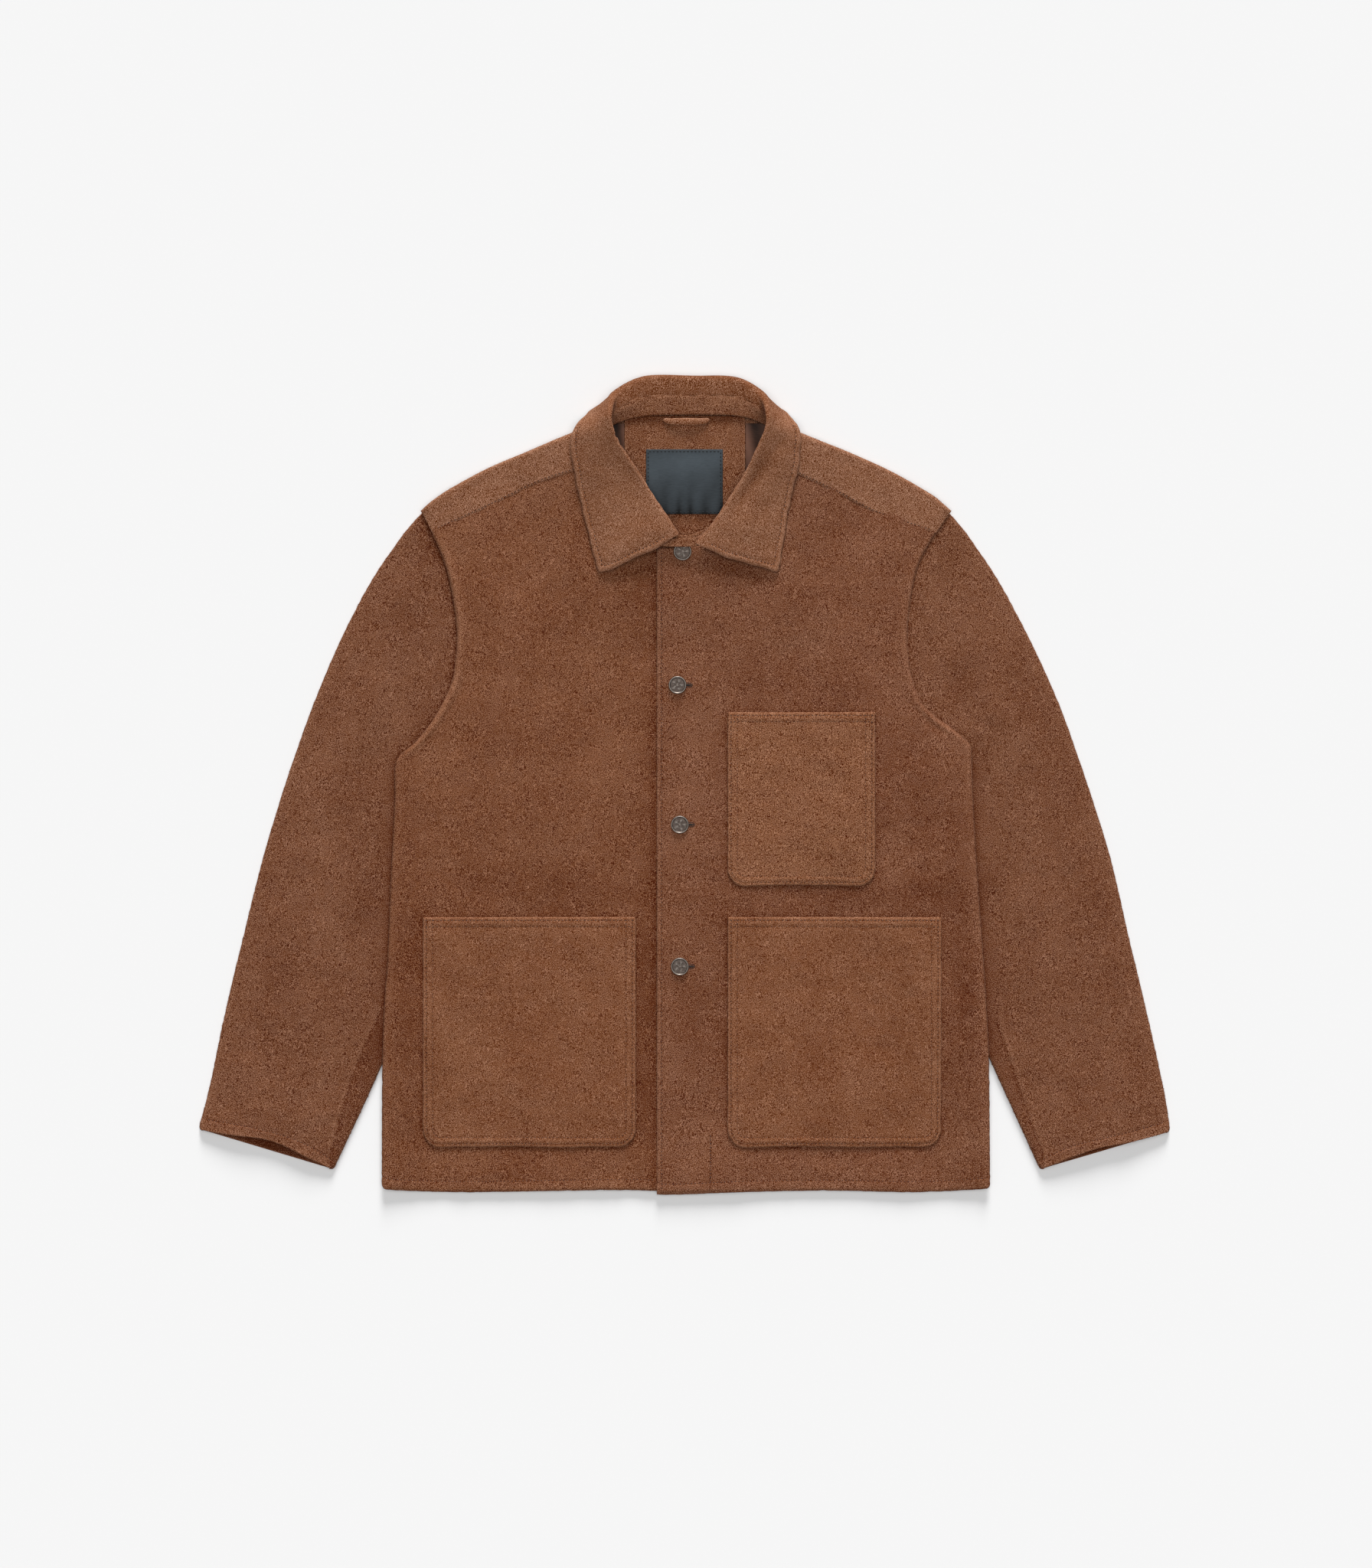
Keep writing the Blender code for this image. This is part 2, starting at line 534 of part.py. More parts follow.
def make_stand(material):
    """Collar stand: from the neck seam up to the seam of the fall, with its two free ends."""
    dense = smooth_path(collar_sections(), 2)
    neck = dense[:, 0:3]
    lines = fall_lines()
    lean = unit(lines[0] - neck)
    from_back = np.abs(neck[:, :1] - COLLAR["right"][0][0])
    cut = BAND_SEAM["back"] + (BAND_SEAM["front"] - BAND_SEAM["back"]) * fade(from_back, 40.0, 25.0)
    band = lines[0] - lean * cut
    for side, (x, y, edge_x, edge_y, lift) in BAND_ENDS.items():
        rest = left_front_under(x, y) if side == "left" else front_under(x, y)
        height = rest + SUEDE + SEAM_GAP + COLLAR_WALL / 2 + lift
        end = np.array([[x, y, height]])
        edge = np.array([[edge_x, edge_y, height]])
        near = 0 if side == "right" else -1
        half = [(neck[near] + end) / 2, (band[near] + edge) / 2]
        if side == "right":
            neck = np.vstack([end, half[0], neck])
            band = np.vstack([edge, half[1], band])
        else:
            half[0][:, 2] = half[1][:, 2] = np.maximum(half[0][:, 2], height - 1.0)
            neck = np.vstack([neck, half[0], end])
            band = np.vstack([band, half[1], edge])
    grid = np.stack([neck, (neck + band) / 2, band], axis=1)
    return add_wall("collar_stand", grid, COLLAR_WALL, material)


def make_patch(name, x_range, y_range, under, wall, columns, rows, material, radius=0.0, puff=0.0):
    """Piece that lies on a panel: a rectangle, with its two bottom corners rounded by radius."""
    left, right = x_range
    top, bottom = y_range
    if radius:
        turn = radius * (1 - np.cos(np.radians([0.0, 38.0, 65.0, 90.0])))
        y = np.concatenate([bottom + turn, np.linspace(bottom + radius, top, rows)[1:]])
    else:
        y = np.linspace(bottom, top, rows + 1)
    rise = np.clip(y - bottom, 0.0, radius) if radius else np.zeros(len(y))
    narrow = radius - np.sqrt(np.maximum(radius**2 - (radius - rise) ** 2, 0.0)) if radius else 0.0 * y
    share = np.linspace(-1.0, 1.0, columns + 1)
    half = (right - left) / 2 - narrow
    x = (left + right) / 2 + half[:, None] * share[None, :]
    plan = np.stack([x, np.broadcast_to(y[:, None], x.shape)], axis=-1)
    inside = (1 - share[None, :] ** 4) * fade(y - bottom, 0.0, 60.0)[:, None]
    height = under(plan[..., 0], plan[..., 1]) + wall / 2 + puff * inside
    return add_wall(name, with_height(plan, height), wall, material)


def make_button(name, x, y, tilt, material):
    """Tack button: shank, dished cap and raised rim, turned round its own axis."""
    seat = left_front_under(x, y) + SUEDE + SEAM_GAP
    foot = front_under(x, y) + SUEDE + SEAM_GAP - seat
    cap, radius, shank = BUTTON["cap"], BUTTON["radius"], BUTTON["shank"]
    profile = ((0.0, foot), (shank, foot), (shank, 0.0), (radius - 0.7, 0.0), (radius, 0.6),
               (radius, cap - 0.8), (radius - 0.7, cap - 0.2), (radius - 1.7, cap - 0.7), (0.0, cap))
    work = bmesh.new()
    points = [work.verts.new((r * MM, 0.0, z * MM)) for r, z in profile]
    for first, second in zip(points, points[1:]):
        work.edges.new((first, second))
    bmesh.ops.spin(work, geom=work.verts[:] + work.edges[:], cent=(0, 0, 0), axis=(0, 0, 1),
                   angle=2 * math.pi, steps=BUTTON["sides"], use_merge=True)
    bmesh.ops.remove_doubles(work, verts=work.verts, dist=1e-6)
    bmesh.ops.recalc_face_normals(work, faces=work.faces)
    mesh = bpy.data.meshes.new(name)
    work.to_mesh(mesh)
    work.free()
    mesh.materials.append(material)
    mesh.shade_smooth()
    thing = bpy.data.objects.new(name, mesh)
    thing.location = (x * MM, y * MM, (seat + radius * math.sin(math.radians(tilt))) * MM)
    thing.rotation_euler = (math.radians(tilt), 0.0, 0.0)
    bpy.context.scene.collection.objects.link(thing)
    return thing


def cut_buttonhole(panel, name, x, y):
    """Keyhole slot: a round eye at the button and a slit towards the wearer's left."""
    eye, slit, sides = BUTTONHOLE["eye"], BUTTONHOLE["slit"], BUTTONHOLE["sides"]
    open_angle = math.asin(slit / eye)
    angles = np.linspace(open_angle, 2 * math.pi - open_angle, sides)
    outline = [(x + eye * math.cos(a), y + eye * math.sin(a)) for a in angles]
    end = x + BUTTONHOLE["length"]
    outline += [(end, y - slit), (end, y + slit)]
    middle = left_front_under(x, y) + SUEDE / 2
    low = [(px, py, middle - 1.3) for px, py in outline]
    high = [(px, py, middle + 2.2) for px, py in outline]
    count = len(outline)
    faces = [tuple(range(count))[::-1], tuple(range(count, 2 * count))]
    faces += [(k, (k + 1) % count, count + (k + 1) % count, count + k) for k in range(count)]
    cutter = add_object(name, low + high, faces, panel.data.materials[0])
    cutter.hide_render = True
    cutter.display_type = "WIRE"
    cut = panel.modifiers.new(name, "BOOLEAN")
    cut.operation = "DIFFERENCE"
    cut.solver = "EXACT"
    cut.object = cutter


def build():
    for old in list(bpy.data.objects):
        bpy.data.objects.remove(old)
    suede = {}
    for name in ("back", "front_left", "front_right", "sleeve_left", "sleeve_right", "collar_stand",
                 "collar_fall", "back_facing", "hanger_loop", *POCKETS):
        suede[name] = make_material(name + "_suede", (0.19, 0.078, 0.038), 0.9)
    make_back(suede["back"])
    make_front("front_right", "right", UNDER_EDGE, front_under, 10, suede["front_right"])
    over = make_front("front_left", "left", PLACKET_EDGE, left_front_under, 11, suede["front_left"])
    make_sleeve("sleeve_right", "right", suede["sleeve_right"])
    make_sleeve("sleeve_left", "left", suede["sleeve_left"])
    make_stand(suede["collar_stand"])
    make_fall(suede["collar_fall"])

    def on_back(x, y):
        return inner_top(x, y) + PATCH_GAP

    def on_facing(x, y):
        ripple = LABEL["ripple"] * np.sin(x * LABEL["waves"] * math.pi / LABEL["x"][1])
        lift = (LABEL["ripple"] + ripple) * fade(-y, -300.0, 40.0)
        return on_back(x, y) + SUEDE + SEAM_GAP + lift

    def arched(x, y):
        middle = sum(LOOP["x"]) / 2
        half = LOOP["x"][1] - middle
        return on_back(x, y) + SUEDE + SEAM_GAP + LOOP["arch"] * (1 - ((x - middle) / half) ** 2)

    make_patch("back_facing", FACING["x"], FACING["y"], on_back, SUEDE, 5, 7, suede["back_facing"])
    satin = make_material("lining_satin", (0.06, 0.03, 0.022), 0.45)
    for side, (near, far) in LINING_X.items():
        x_range = (min(near, far), max(near, far))
        make_patch("lining_" + side, x_range, LINING_Y, on_back, LINING_WALL, 1, 6, satin)
    label_satin = make_material("label_satin", (0.02, 0.025, 0.03), 0.4)
    make_patch("label", LABEL["x"], LABEL["y"], on_facing, LABEL_WALL, 10, 3, label_satin)
    make_patch("hanger_loop", LOOP["x"], LOOP["y"], arched, LABEL_WALL, 6, 1, suede["hanger_loop"])
    for name, (left, right, top, bottom, radius) in POCKETS.items():
        panel = front_under if right < 0 else left_front_under

        def on_front(x, y, panel=panel):
            return panel(x, y) + SUEDE + PATCH_GAP

        make_patch(name, (left, right), (top, bottom), on_front, SUEDE, 6, 6, suede[name], radius,
                   POCKET_PUFF)
    metal = make_material("button_metal", (0.07, 0.065, 0.06), 0.4, 1.0)
    for number, (x, y, tilt) in enumerate(BUTTONS, start=1):
        make_button(f"button_{number}", x, y, tilt, metal)
        cut_buttonhole(over, f"buttonhole_{number}", x, y)


build()
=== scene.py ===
import math

import bpy
import numpy as np
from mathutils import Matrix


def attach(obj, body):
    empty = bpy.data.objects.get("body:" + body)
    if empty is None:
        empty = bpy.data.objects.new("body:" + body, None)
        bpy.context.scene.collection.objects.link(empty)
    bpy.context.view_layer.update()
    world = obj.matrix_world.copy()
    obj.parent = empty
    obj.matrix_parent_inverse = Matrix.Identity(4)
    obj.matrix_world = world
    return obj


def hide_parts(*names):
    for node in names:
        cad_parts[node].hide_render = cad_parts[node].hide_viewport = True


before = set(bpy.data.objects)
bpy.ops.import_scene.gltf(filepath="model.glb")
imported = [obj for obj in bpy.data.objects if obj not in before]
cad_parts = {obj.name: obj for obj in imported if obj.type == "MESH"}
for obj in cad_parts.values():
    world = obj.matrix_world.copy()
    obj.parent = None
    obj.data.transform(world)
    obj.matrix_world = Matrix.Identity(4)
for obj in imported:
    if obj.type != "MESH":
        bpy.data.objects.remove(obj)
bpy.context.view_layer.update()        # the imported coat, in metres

# Suede chore coat laid flat on its back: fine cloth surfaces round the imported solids.
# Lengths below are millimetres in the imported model's own axes: x to the wearer's left,
# y up the coat, z up from the floor. Left and right are the wearer's.
mm = 0.001
sides = {"right": -1, "left": 1}

cloth = {
    "suede": 1.5,  # wall of the shell and pockets
    "collar": 2.4,  # two layers of suede
    "satin": 1.0,  # lining and label
    "seamAir": 0.4,
    "patchAir": 0.7,
    "panelAir": 1.0,
    "neckAir": 2.0,  # room for facing and lining under the fronts
    "overSleeve": 4.6,
    "overCollar": 3.8,
    "overlap": 1.9,  # the left front climbs this much over the right one
}

coat = {
    # y, x on the right side, x on the left side
    "bodyEdge": (
        (-389.0, -289.3, 292.2), (-264.4, -288.6, 291.0), (-205.8, -286.4, 288.2),
        (-164.8, -283.4, 285.6), (-91.6, -280.5, 280.2), (-18.0, -276.8, 275.9),
        (22.0, -275.4, 274.6), (38.0, -259.4, 273.0), (50.0, -249.0, 260.0), (60.0, -241.5, 244.5),
        (78.4, -230.7, 226.8), (98.9, -221.9, 218.3), (123.8, -218.3, 213.9),
        (148.7, -217.5, 213.3), (181.6, -221.9, 216.8), (212.0, -229.2, 224.5),
        (240.0, -241.3, 240.0), (261.5, -251.9, 254.9),
    ),
    "hem": ((-290, -384.5), (-277, -386.7), (-211, -388.9), (-76, -386.7), (-26, -391.1),
            (15, -390.4), (52, -388.9), (135, -387.4), (217, -388.9), (272, -386.7), (293, -384.8)),
    "rightHem": ((-290, -384.5), (-277, -386.7), (-211, -388.9), (-76, -387.0), (-26, -387.6),
                 (52, -388.0), (135, -387.4), (293, -384.8)),
    "shoulderFold": {
        "right": ((-251.9, 261.5), (-241.0, 271.0), (-222.6, 283.4), (-186.0, 303.2),
                  (-149.4, 318.6), (-112.8, 334.0), (-84.0, 345.0)),
        "left": ((254.9, 261.5), (245.0, 270.0), (235.1, 277.6), (198.5, 298.8), (161.9, 315.7),
                 (125.2, 330.3), (92.0, 344.0)),
    },
    "shoulderSeam": {
        "right": ((-241.0, 241.0), (-194.1, 262.2), (-142.1, 287.1), (-106.9, 298.8), (-81.0, 307.0)),
        "left": ((240.0, 240.0), (186.8, 257.8), (150.9, 276.1), (107.7, 296.6), (86.0, 306.0)),
    },
    "sleeveReach": ((-389.0, -345.0, 350.0), (-29.3, -178.7, 186.0), (60.0, -190.0, 190.0),
                    (150.0, -203.0, 200.0), (262.0, -246.0, 248.0)),
    "placketEdge": -26.0,
    "underEdge": 20.0,
    "neckEnd": {"right": 224.0, "left": 226.0},
}

# soft folds that the solids have too: x, y, degrees, half length, half width, height
folds = (
    (-352, 20, 68, 150, 30, 1.5), (-395, -190, 74, 120, 26, 1.3), (-330, 120, 55, 70, 24, 1.2),
    (352, 10, 112, 150, 30, 1.5), (398, -200, 106, 120, 26, 1.3), (332, 125, 125, 70, 24, 1.2),
    (-150, 130, 80, 130, 40, 1.0), (-215, 10, 60, 70, 30, 1.0), (140, 160, 98, 110, 40, 1.0),
    (225, 0, 118, 80, 30, 1.0), (-100, -60, 95, 90, 45, 0.8),
)


def smoothRise(t):  # 3t^2 - 2t^3 between 0 and 1
    t = np.clip(t, 0.0, 1.0)
    return t * t * (3.0 - 2.0 * t)


def fade(value, start, width):  # 0 before start, 1 after start + width
    return smoothRise((np.asarray(value, float) - start) / width)


def bell(value, middle, width):  # exp(-((value - middle) / width)^2)
    return np.exp(-((np.asarray(value, float) - middle) / width) ** 2)


def softPath(points, perSpan=12):
    # Catmull-Rom curve: each span is the cubic that leaves a point along the line of its neighbours
    knots = np.asarray(points, float)
    padded = np.concatenate([2 * knots[:1] - knots[1:2], knots, 2 * knots[-1:] - knots[-2:-1]])
    a, b, c, d = padded[:-3], padded[1:-2], padded[2:-1], padded[3:]
    t = np.linspace(0.0, 1.0, perSpan, endpoint=False).reshape((1, -1) + (1,) * (knots.ndim - 1))
    a, b, c, d = (part[:, None] for part in (a, b, c, d))
    cubic = 2 * b + (c - a) * t + (2 * a - 5 * b + 4 * c - d) * t**2 + (3 * b - a - 3 * c + d) * t**3
    return np.concatenate([(cubic / 2).reshape((-1,) + knots.shape[1:]), knots[-1:]])


def alongPath(path, shares):
    # points at the given shares of a polyline's length
    length = np.concatenate([[0.0], np.cumsum(np.linalg.norm(np.diff(path, axis=0), axis=1))])
    where = np.asarray(shares, float) * length[-1]
    return np.stack([np.interp(where, length, column) for column in path.T], axis=-1)


def pathLength(path):
    return float(np.linalg.norm(np.diff(path, axis=0), axis=1).sum())


def tableCurve(table, column, smooth=True):
    rows = np.array([(row[0], row[column]) for row in table], float)
    rows = softPath(rows) if smooth else rows
    rows = rows[np.argsort(rows[:, 0])]
    return lambda value: np.interp(value, rows[:, 0], rows[:, 1])


def unit(vectors):
    return vectors / np.maximum(np.linalg.norm(vectors, axis=-1, keepdims=True), 1e-9)


def uneven(x, y, size, seed):
    # sum of sixteen sine waves in seeded directions, with wavelengths round the given size
    random = np.random.default_rng(seed)
    angle, phase = random.uniform(0, 2 * math.pi, (2, 16))
    number = 2 * math.pi / (size * random.uniform(0.6, 1.7, 16))
    total = 0.0
    for turn, start, waves in zip(angle, phase, number):
        total = total + np.sin((x * math.cos(turn) + y * math.sin(turn)) * waves + start)
    return total / 4.0


def ridges(x, y, rows):
    # bell across each ridge's direction times a bell along it
    total = 0.0
    for ridgeX, ridgeY, degrees, halfLength, halfWidth, height in rows:
        turn = math.radians(degrees)
        along = (x - ridgeX) * math.cos(turn) + (y - ridgeY) * math.sin(turn)
        across = (y - ridgeY) * math.cos(turn) - (x - ridgeX) * math.sin(turn)
        total = total + height * np.exp(-((along / halfLength) ** 2) - (across / halfWidth) ** 2)
    return total


def spacing(length, step, fine=(0, 0.5, 1.1, 1.8, 2.6, 3.5, 4.6, 5.8, 7.1, 8.5, 10.0, 11.8, 14.0), ends=2):
    # shares of a length from 0 to 1: fine steps beside one or both ends, even ones between
    near = np.array(fine, float)
    far = length - near[::-1] if ends == 2 else np.array([length])
    middle = np.linspace(near[-1], far[0], max(2, int(round((far[0] - near[-1]) / step)) + 1))
    return np.concatenate([near, middle[1:-1], far]) / length


edgeX = {"right": tableCurve(coat["bodyEdge"], 1), "left": tableCurve(coat["bodyEdge"], 2)}
reachX = {"right": tableCurve(coat["sleeveReach"], 1, False),
          "left": tableCurve(coat["sleeveReach"], 2, False)}
hemY = {"right": tableCurve(coat["rightHem"], 1), "left": tableCurve(coat["hem"], 1)}
seamY = {side: tableCurve(coat["shoulderSeam"][side], 1) for side in sides}


def backUnder(x, y):
    fromRight = 1.0 - fade(x - reachX["right"](y), 15.0, 90.0)
    fromLeft = 1.0 - fade(reachX["left"](y) - x, 15.0, 90.0)
    sleeve = cloth["overSleeve"] * np.maximum(fromRight, fromLeft)
    collar = cloth["overCollar"] * fade(y, 235.0, 95.0) * (1.0 - fade(np.abs(x), 120.0, 90.0))
    return (sleeve**4 + collar**4) ** 0.25


def innerTop(x, y):
    return backUnder(x, y) + cloth["suede"]


def frontUnder(x, y):
    neck = fade(y, 120.0, 60.0) * (1.0 - fade(np.abs(x), 105.0, 60.0))
    return innerTop(x, y) + cloth["panelAir"] + cloth["neckAir"] * neck + ridges(x, y, folds)


def leftFrontUnder(x, y):
    return frontUnder(x, y) + cloth["overlap"] * (1.0 - fade(x, coat["underEdge"] + 5.0, 60.0))


frontUnders = {"right": frontUnder, "left": leftFrontUnder}


def flapUnder(x, y):
    return frontUnder(x, y) + cloth["suede"] + cloth["seamAir"]


def outerTop(x, y):
    # top of whatever the collar rests on
    onFlap = fade(y - np.where(x < 0, seamY["right"](x), seamY["left"](x)), -14.0, 14.0)
    front = np.where(x > coat["placketEdge"] - 10.0, leftFrontUnder(x, y), frontUnder(x, y))
    return front + cloth["suede"] + onFlap * (cloth["suede"] + cloth["seamAir"])


def linear(code):  # "7a4e37" to linear red, green, blue
    values = np.array([int(code[k:k + 2], 16) for k in (0, 2, 4)]) / 255.0
    return tuple(np.where(values <= 0.04045, values / 12.92, ((values + 0.055) / 1.055) ** 2.4))


def addMesh(name, points, faces, material, smooth=True):
    mesh = bpy.data.meshes.new(name)
    points = np.asarray(points, np.float32) * mm
    faces = np.asarray(faces, np.int32)
    mesh.vertices.add(len(points))
    mesh.vertices.foreach_set("co", points.ravel())
    mesh.loops.add(faces.size)
    mesh.loops.foreach_set("vertex_index", faces.ravel())
    mesh.polygons.add(len(faces))
    mesh.polygons.foreach_set("loop_start", np.arange(0, faces.size, faces.shape[1], dtype=np.int32))
    mesh.polygons.foreach_set("use_smooth", np.full(len(faces), smooth))
    mesh.update(calc_edges=True)
    mesh.validate()
    mesh.materials.append(material)
    piece = bpy.data.objects.new(name, mesh)
    bpy.context.scene.collection.objects.link(piece)
    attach(piece, "root")
    return piece


def gridFaces(rows, columns, closed=False, used=None):
    # quads between neighbouring grid points, without those that touch an unused one
    number = np.arange(rows * columns).reshape(rows, columns)
    if used is not None:
        number = np.full((rows, columns), -1)
        number[used] = np.arange(used.sum())
    if closed:
        number = np.concatenate([number, number[:, :1]], axis=1)
    quads = np.stack([number[:-1, :-1], number[:-1, 1:], number[1:, 1:], number[1:, :-1]], axis=-1)
    quads = quads.reshape(-1, 4)
    return quads[quads.min(axis=1) >= 0]


looseEdges = {}  # piece name to lines where loose nap stands out, each with the line beside it


def clothPiece(name, grid, wall, material, slot, closed=False, tone=None, loose=""):
    # wall of cloth round a grid of middle points; tone lightens or darkens the colour point by point, as patches of nap
    # and as painted highlight and painted shade
    beside = {"b": (grid[0], grid[1]), "t": (grid[-1], grid[-2]),
              "l": (grid[:, 0], grid[:, 1]), "r": (grid[:, -1], grid[:, -2])}
    looseEdges[name] = ([beside[key] for key in loose], material, slot)
    used = ~np.isnan(grid[..., 2])
    faces = gridFaces(grid.shape[0], grid.shape[1], closed, None if used.all() else used)
    piece = addMesh(name, grid[used], faces, material)
    shade = np.zeros(used.sum()) if tone is None else np.broadcast_to(tone, used.shape)[used]
    layer = piece.data.attributes.new("tone", "FLOAT", "POINT")
    layer.data.foreach_set("value", shade.astype(np.float32))
    solid = piece.modifiers.new("wall", "SOLIDIFY")
    solid.thickness = wall * mm
    solid.offset = 0.0
    solid.use_quality_normals = True
    return piece


def fill(bottom, top, left, right):
    # plan grid between four edges: both ruled surfaces less the one through the corners
    r = ((left[:, 1] - left[0, 1]) / (left[-1, 1] - left[0, 1]))[:, None, None]
    c = ((bottom[:, 0] - bottom[0, 0]) / (bottom[-1, 0] - bottom[0, 0]))[None, :, None]
    corners = (1 - r) * (1 - c) * bottom[0] + (1 - r) * c * bottom[-1] \
        + r * (1 - c) * top[0] + r * c * top[-1]
    return (1 - r) * bottom + r * top + (1 - c) * left[:, None] + c * right[:, None] - corners


def withHeight(plan, height):
    return np.concatenate([plan, np.asarray(height)[..., None]], axis=-1)


stitch = {"length": 2.2, "pitch": 3.5, "width": 0.95, "height": 0.55}


def stitchRow(name, paths, material, length=stitch["length"], pitch=stitch["pitch"],
              width=stitch["width"], seed=3):
    # one small lozenge of thread at each step along the paths, laid along the path
    random = np.random.default_rng(seed)
    centre, ahead = [], []
    for path in paths:
        count = max(2, int(pathLength(path) / pitch))
        shares = (np.arange(count) + 0.5) / count
        spots = alongPath(path, shares)
        forward = alongPath(path, np.clip(shares + 0.002, 0, 1)) - alongPath(path, np.clip(shares - 0.002, 0, 1))
        centre.append(spots)
        ahead.append(unit(forward))
    centre, ahead = np.concatenate(centre), np.concatenate(ahead)
    turn = random.normal(0.0, 0.07, len(ahead))
    ahead[:, :2] += np.stack([-ahead[:, 1] * turn, ahead[:, 0] * turn], axis=-1)
    aside = unit(np.cross([0.0, 0.0, 1.0], ahead))
    above = np.cross(ahead, aside)
    half = length / 2 * random.uniform(0.9, 1.08, len(ahead))
    # rings of four points at four places along the stitch, thinner at its ends
    place = np.array([-1.0, -0.55, 0.55, 1.0])
    girth = np.array([0.35, 1.0, 1.0, 0.35])
    turns = np.radians([0.0, 90.0, 180.0, 270.0])
    ringX = girth[:, None] * np.cos(turns) * width / 2
    ringZ = girth[:, None] * np.sin(turns) * stitch["height"] / 2
    points = centre[:, None, None] + ahead[:, None, None] * (half[:, None] * place)[:, :, None, None] \
        + aside[:, None, None] * ringX[None, :, :, None] + above[:, None, None] * ringZ[None, :, :, None]
    sink = np.array([-0.35, 0.0, 0.0, -0.35])[None, :, None]
    points[..., 2] += sink
    body = gridFaces(4, 4, closed=True)
    caps = np.array([[3, 2, 1, 0], [12, 13, 14, 15]])
    one = np.concatenate([body[:, ::-1], caps[:, ::-1]])
    faces = (one[None] + 16 * np.arange(len(centre))[:, None, None]).reshape(-1, 4)
    return addMesh(name, points.reshape(-1, 3), faces, material)


fringe = {"gap": 0.55, "reach": 1.0, "foot": 0.24}


def makeFringe(name, lines, material, slot):
    # loose tufts of nap: three-sided spikes along an edge, leaning out from the line beside it at random
    random = np.random.default_rng(len(name))
    foot, out, ahead = [], [], []
    for edge, inner in lines:
        shares = np.sort(random.uniform(0, 1, int(pathLength(edge) / fringe["gap"])))
        foot.append(alongPath(edge, shares))
        run = np.concatenate([[0.0], np.cumsum(np.linalg.norm(np.diff(edge, axis=0), axis=1))]) / pathLength(edge)
        away, along = unit(edge - inner), unit(np.gradient(edge, axis=0))
        out.append(np.stack([np.interp(shares, run, column) for column in away.T], axis=-1))
        ahead.append(np.stack([np.interp(shares, run, column) for column in along.T], axis=-1))
    foot, out, ahead = np.concatenate(foot), np.concatenate(out), np.concatenate(ahead)
    count = len(foot)
    foot = foot - out * 0.25 + np.stack([np.zeros(count), np.zeros(count), random.uniform(-0.5, 0.6, count)], axis=-1)
    lean = out + ahead * random.normal(0, 0.6, (count, 1))
    lean = lean + np.array([0, 0, 1.0]) * random.uniform(-0.2, 0.5, (count, 1))
    tip = foot + unit(lean) * (0.45 + fringe["reach"] * random.uniform(0, 1, (count, 1)) ** 2)
    up = np.array([0.0, 0.0, fringe["foot"] * 1.4])
    points = np.stack([foot - ahead * fringe["foot"], foot + ahead * fringe["foot"], foot + up, tip], axis=1)
    one = np.array([[0, 2, 1], [0, 1, 3], [1, 2, 3], [2, 0, 3]])
    turned = np.einsum("ij,ij->i", np.cross(points[:, 1] - points[:, 0], points[:, 3] - points[:, 0]),
                       points[:, 2] - points[:, 0]) > 0
    faces = np.where(turned[:, None, None], one[None, :, ::-1], one[None]) + 4 * np.arange(count)[:, None, None]
    return addMesh(name, points.reshape(-1, 3), faces.reshape(-1, 3), material, smooth=False)


def addNode(material, kind, inputs=None, **settings):
    # adds a node, sets its properties, then sets or links its inputs
    node = material.node_tree.nodes.new(kind)
    for key, value in settings.items():
        setattr(node, key, value)
    for key, value in (inputs or {}).items():
        if isinstance(value, bpy.types.NodeSocket):
            material.node_tree.links.new(value, node.inputs[key])
        else:
            node.inputs[key].default_value = value
    return node


def newMaterial(name):
    material = bpy.data.materials.new(name)
    material.use_nodes = True
    return material, material.node_tree.nodes["Principled BSDF"]


def perMetre(sizeMm):  # noise scale for features of that size
    return 1000.0 / sizeMm


suedeLook = {
    "fleckMm": 0.5,  # clumps of nap, drawn coarser than the real 0.2 mm tufts so that they show
    "curlMm": 1.0,
    "blotchMm": 24.0,
    "cloudMm": 80.0,
    "levels": 50,  # half the ramp from dark to light, in steps of 255
    "fleckGain": 5.8, "curlGain": 0.35, "blotchGain": 0.15, "cloudGain": 0.10,
}


def shifted(code, levels):
    # the colour moved lighter or darker by nearly equal steps in red, green and blue
    parts = [int(code[k:k + 2], 16) + levels * share for k, share in ((0, 1.0), (2, 1.05), (4, 1.1))]
    return linear("".join(f"{int(np.clip(part, 0, 250)):02x}" for part in parts))


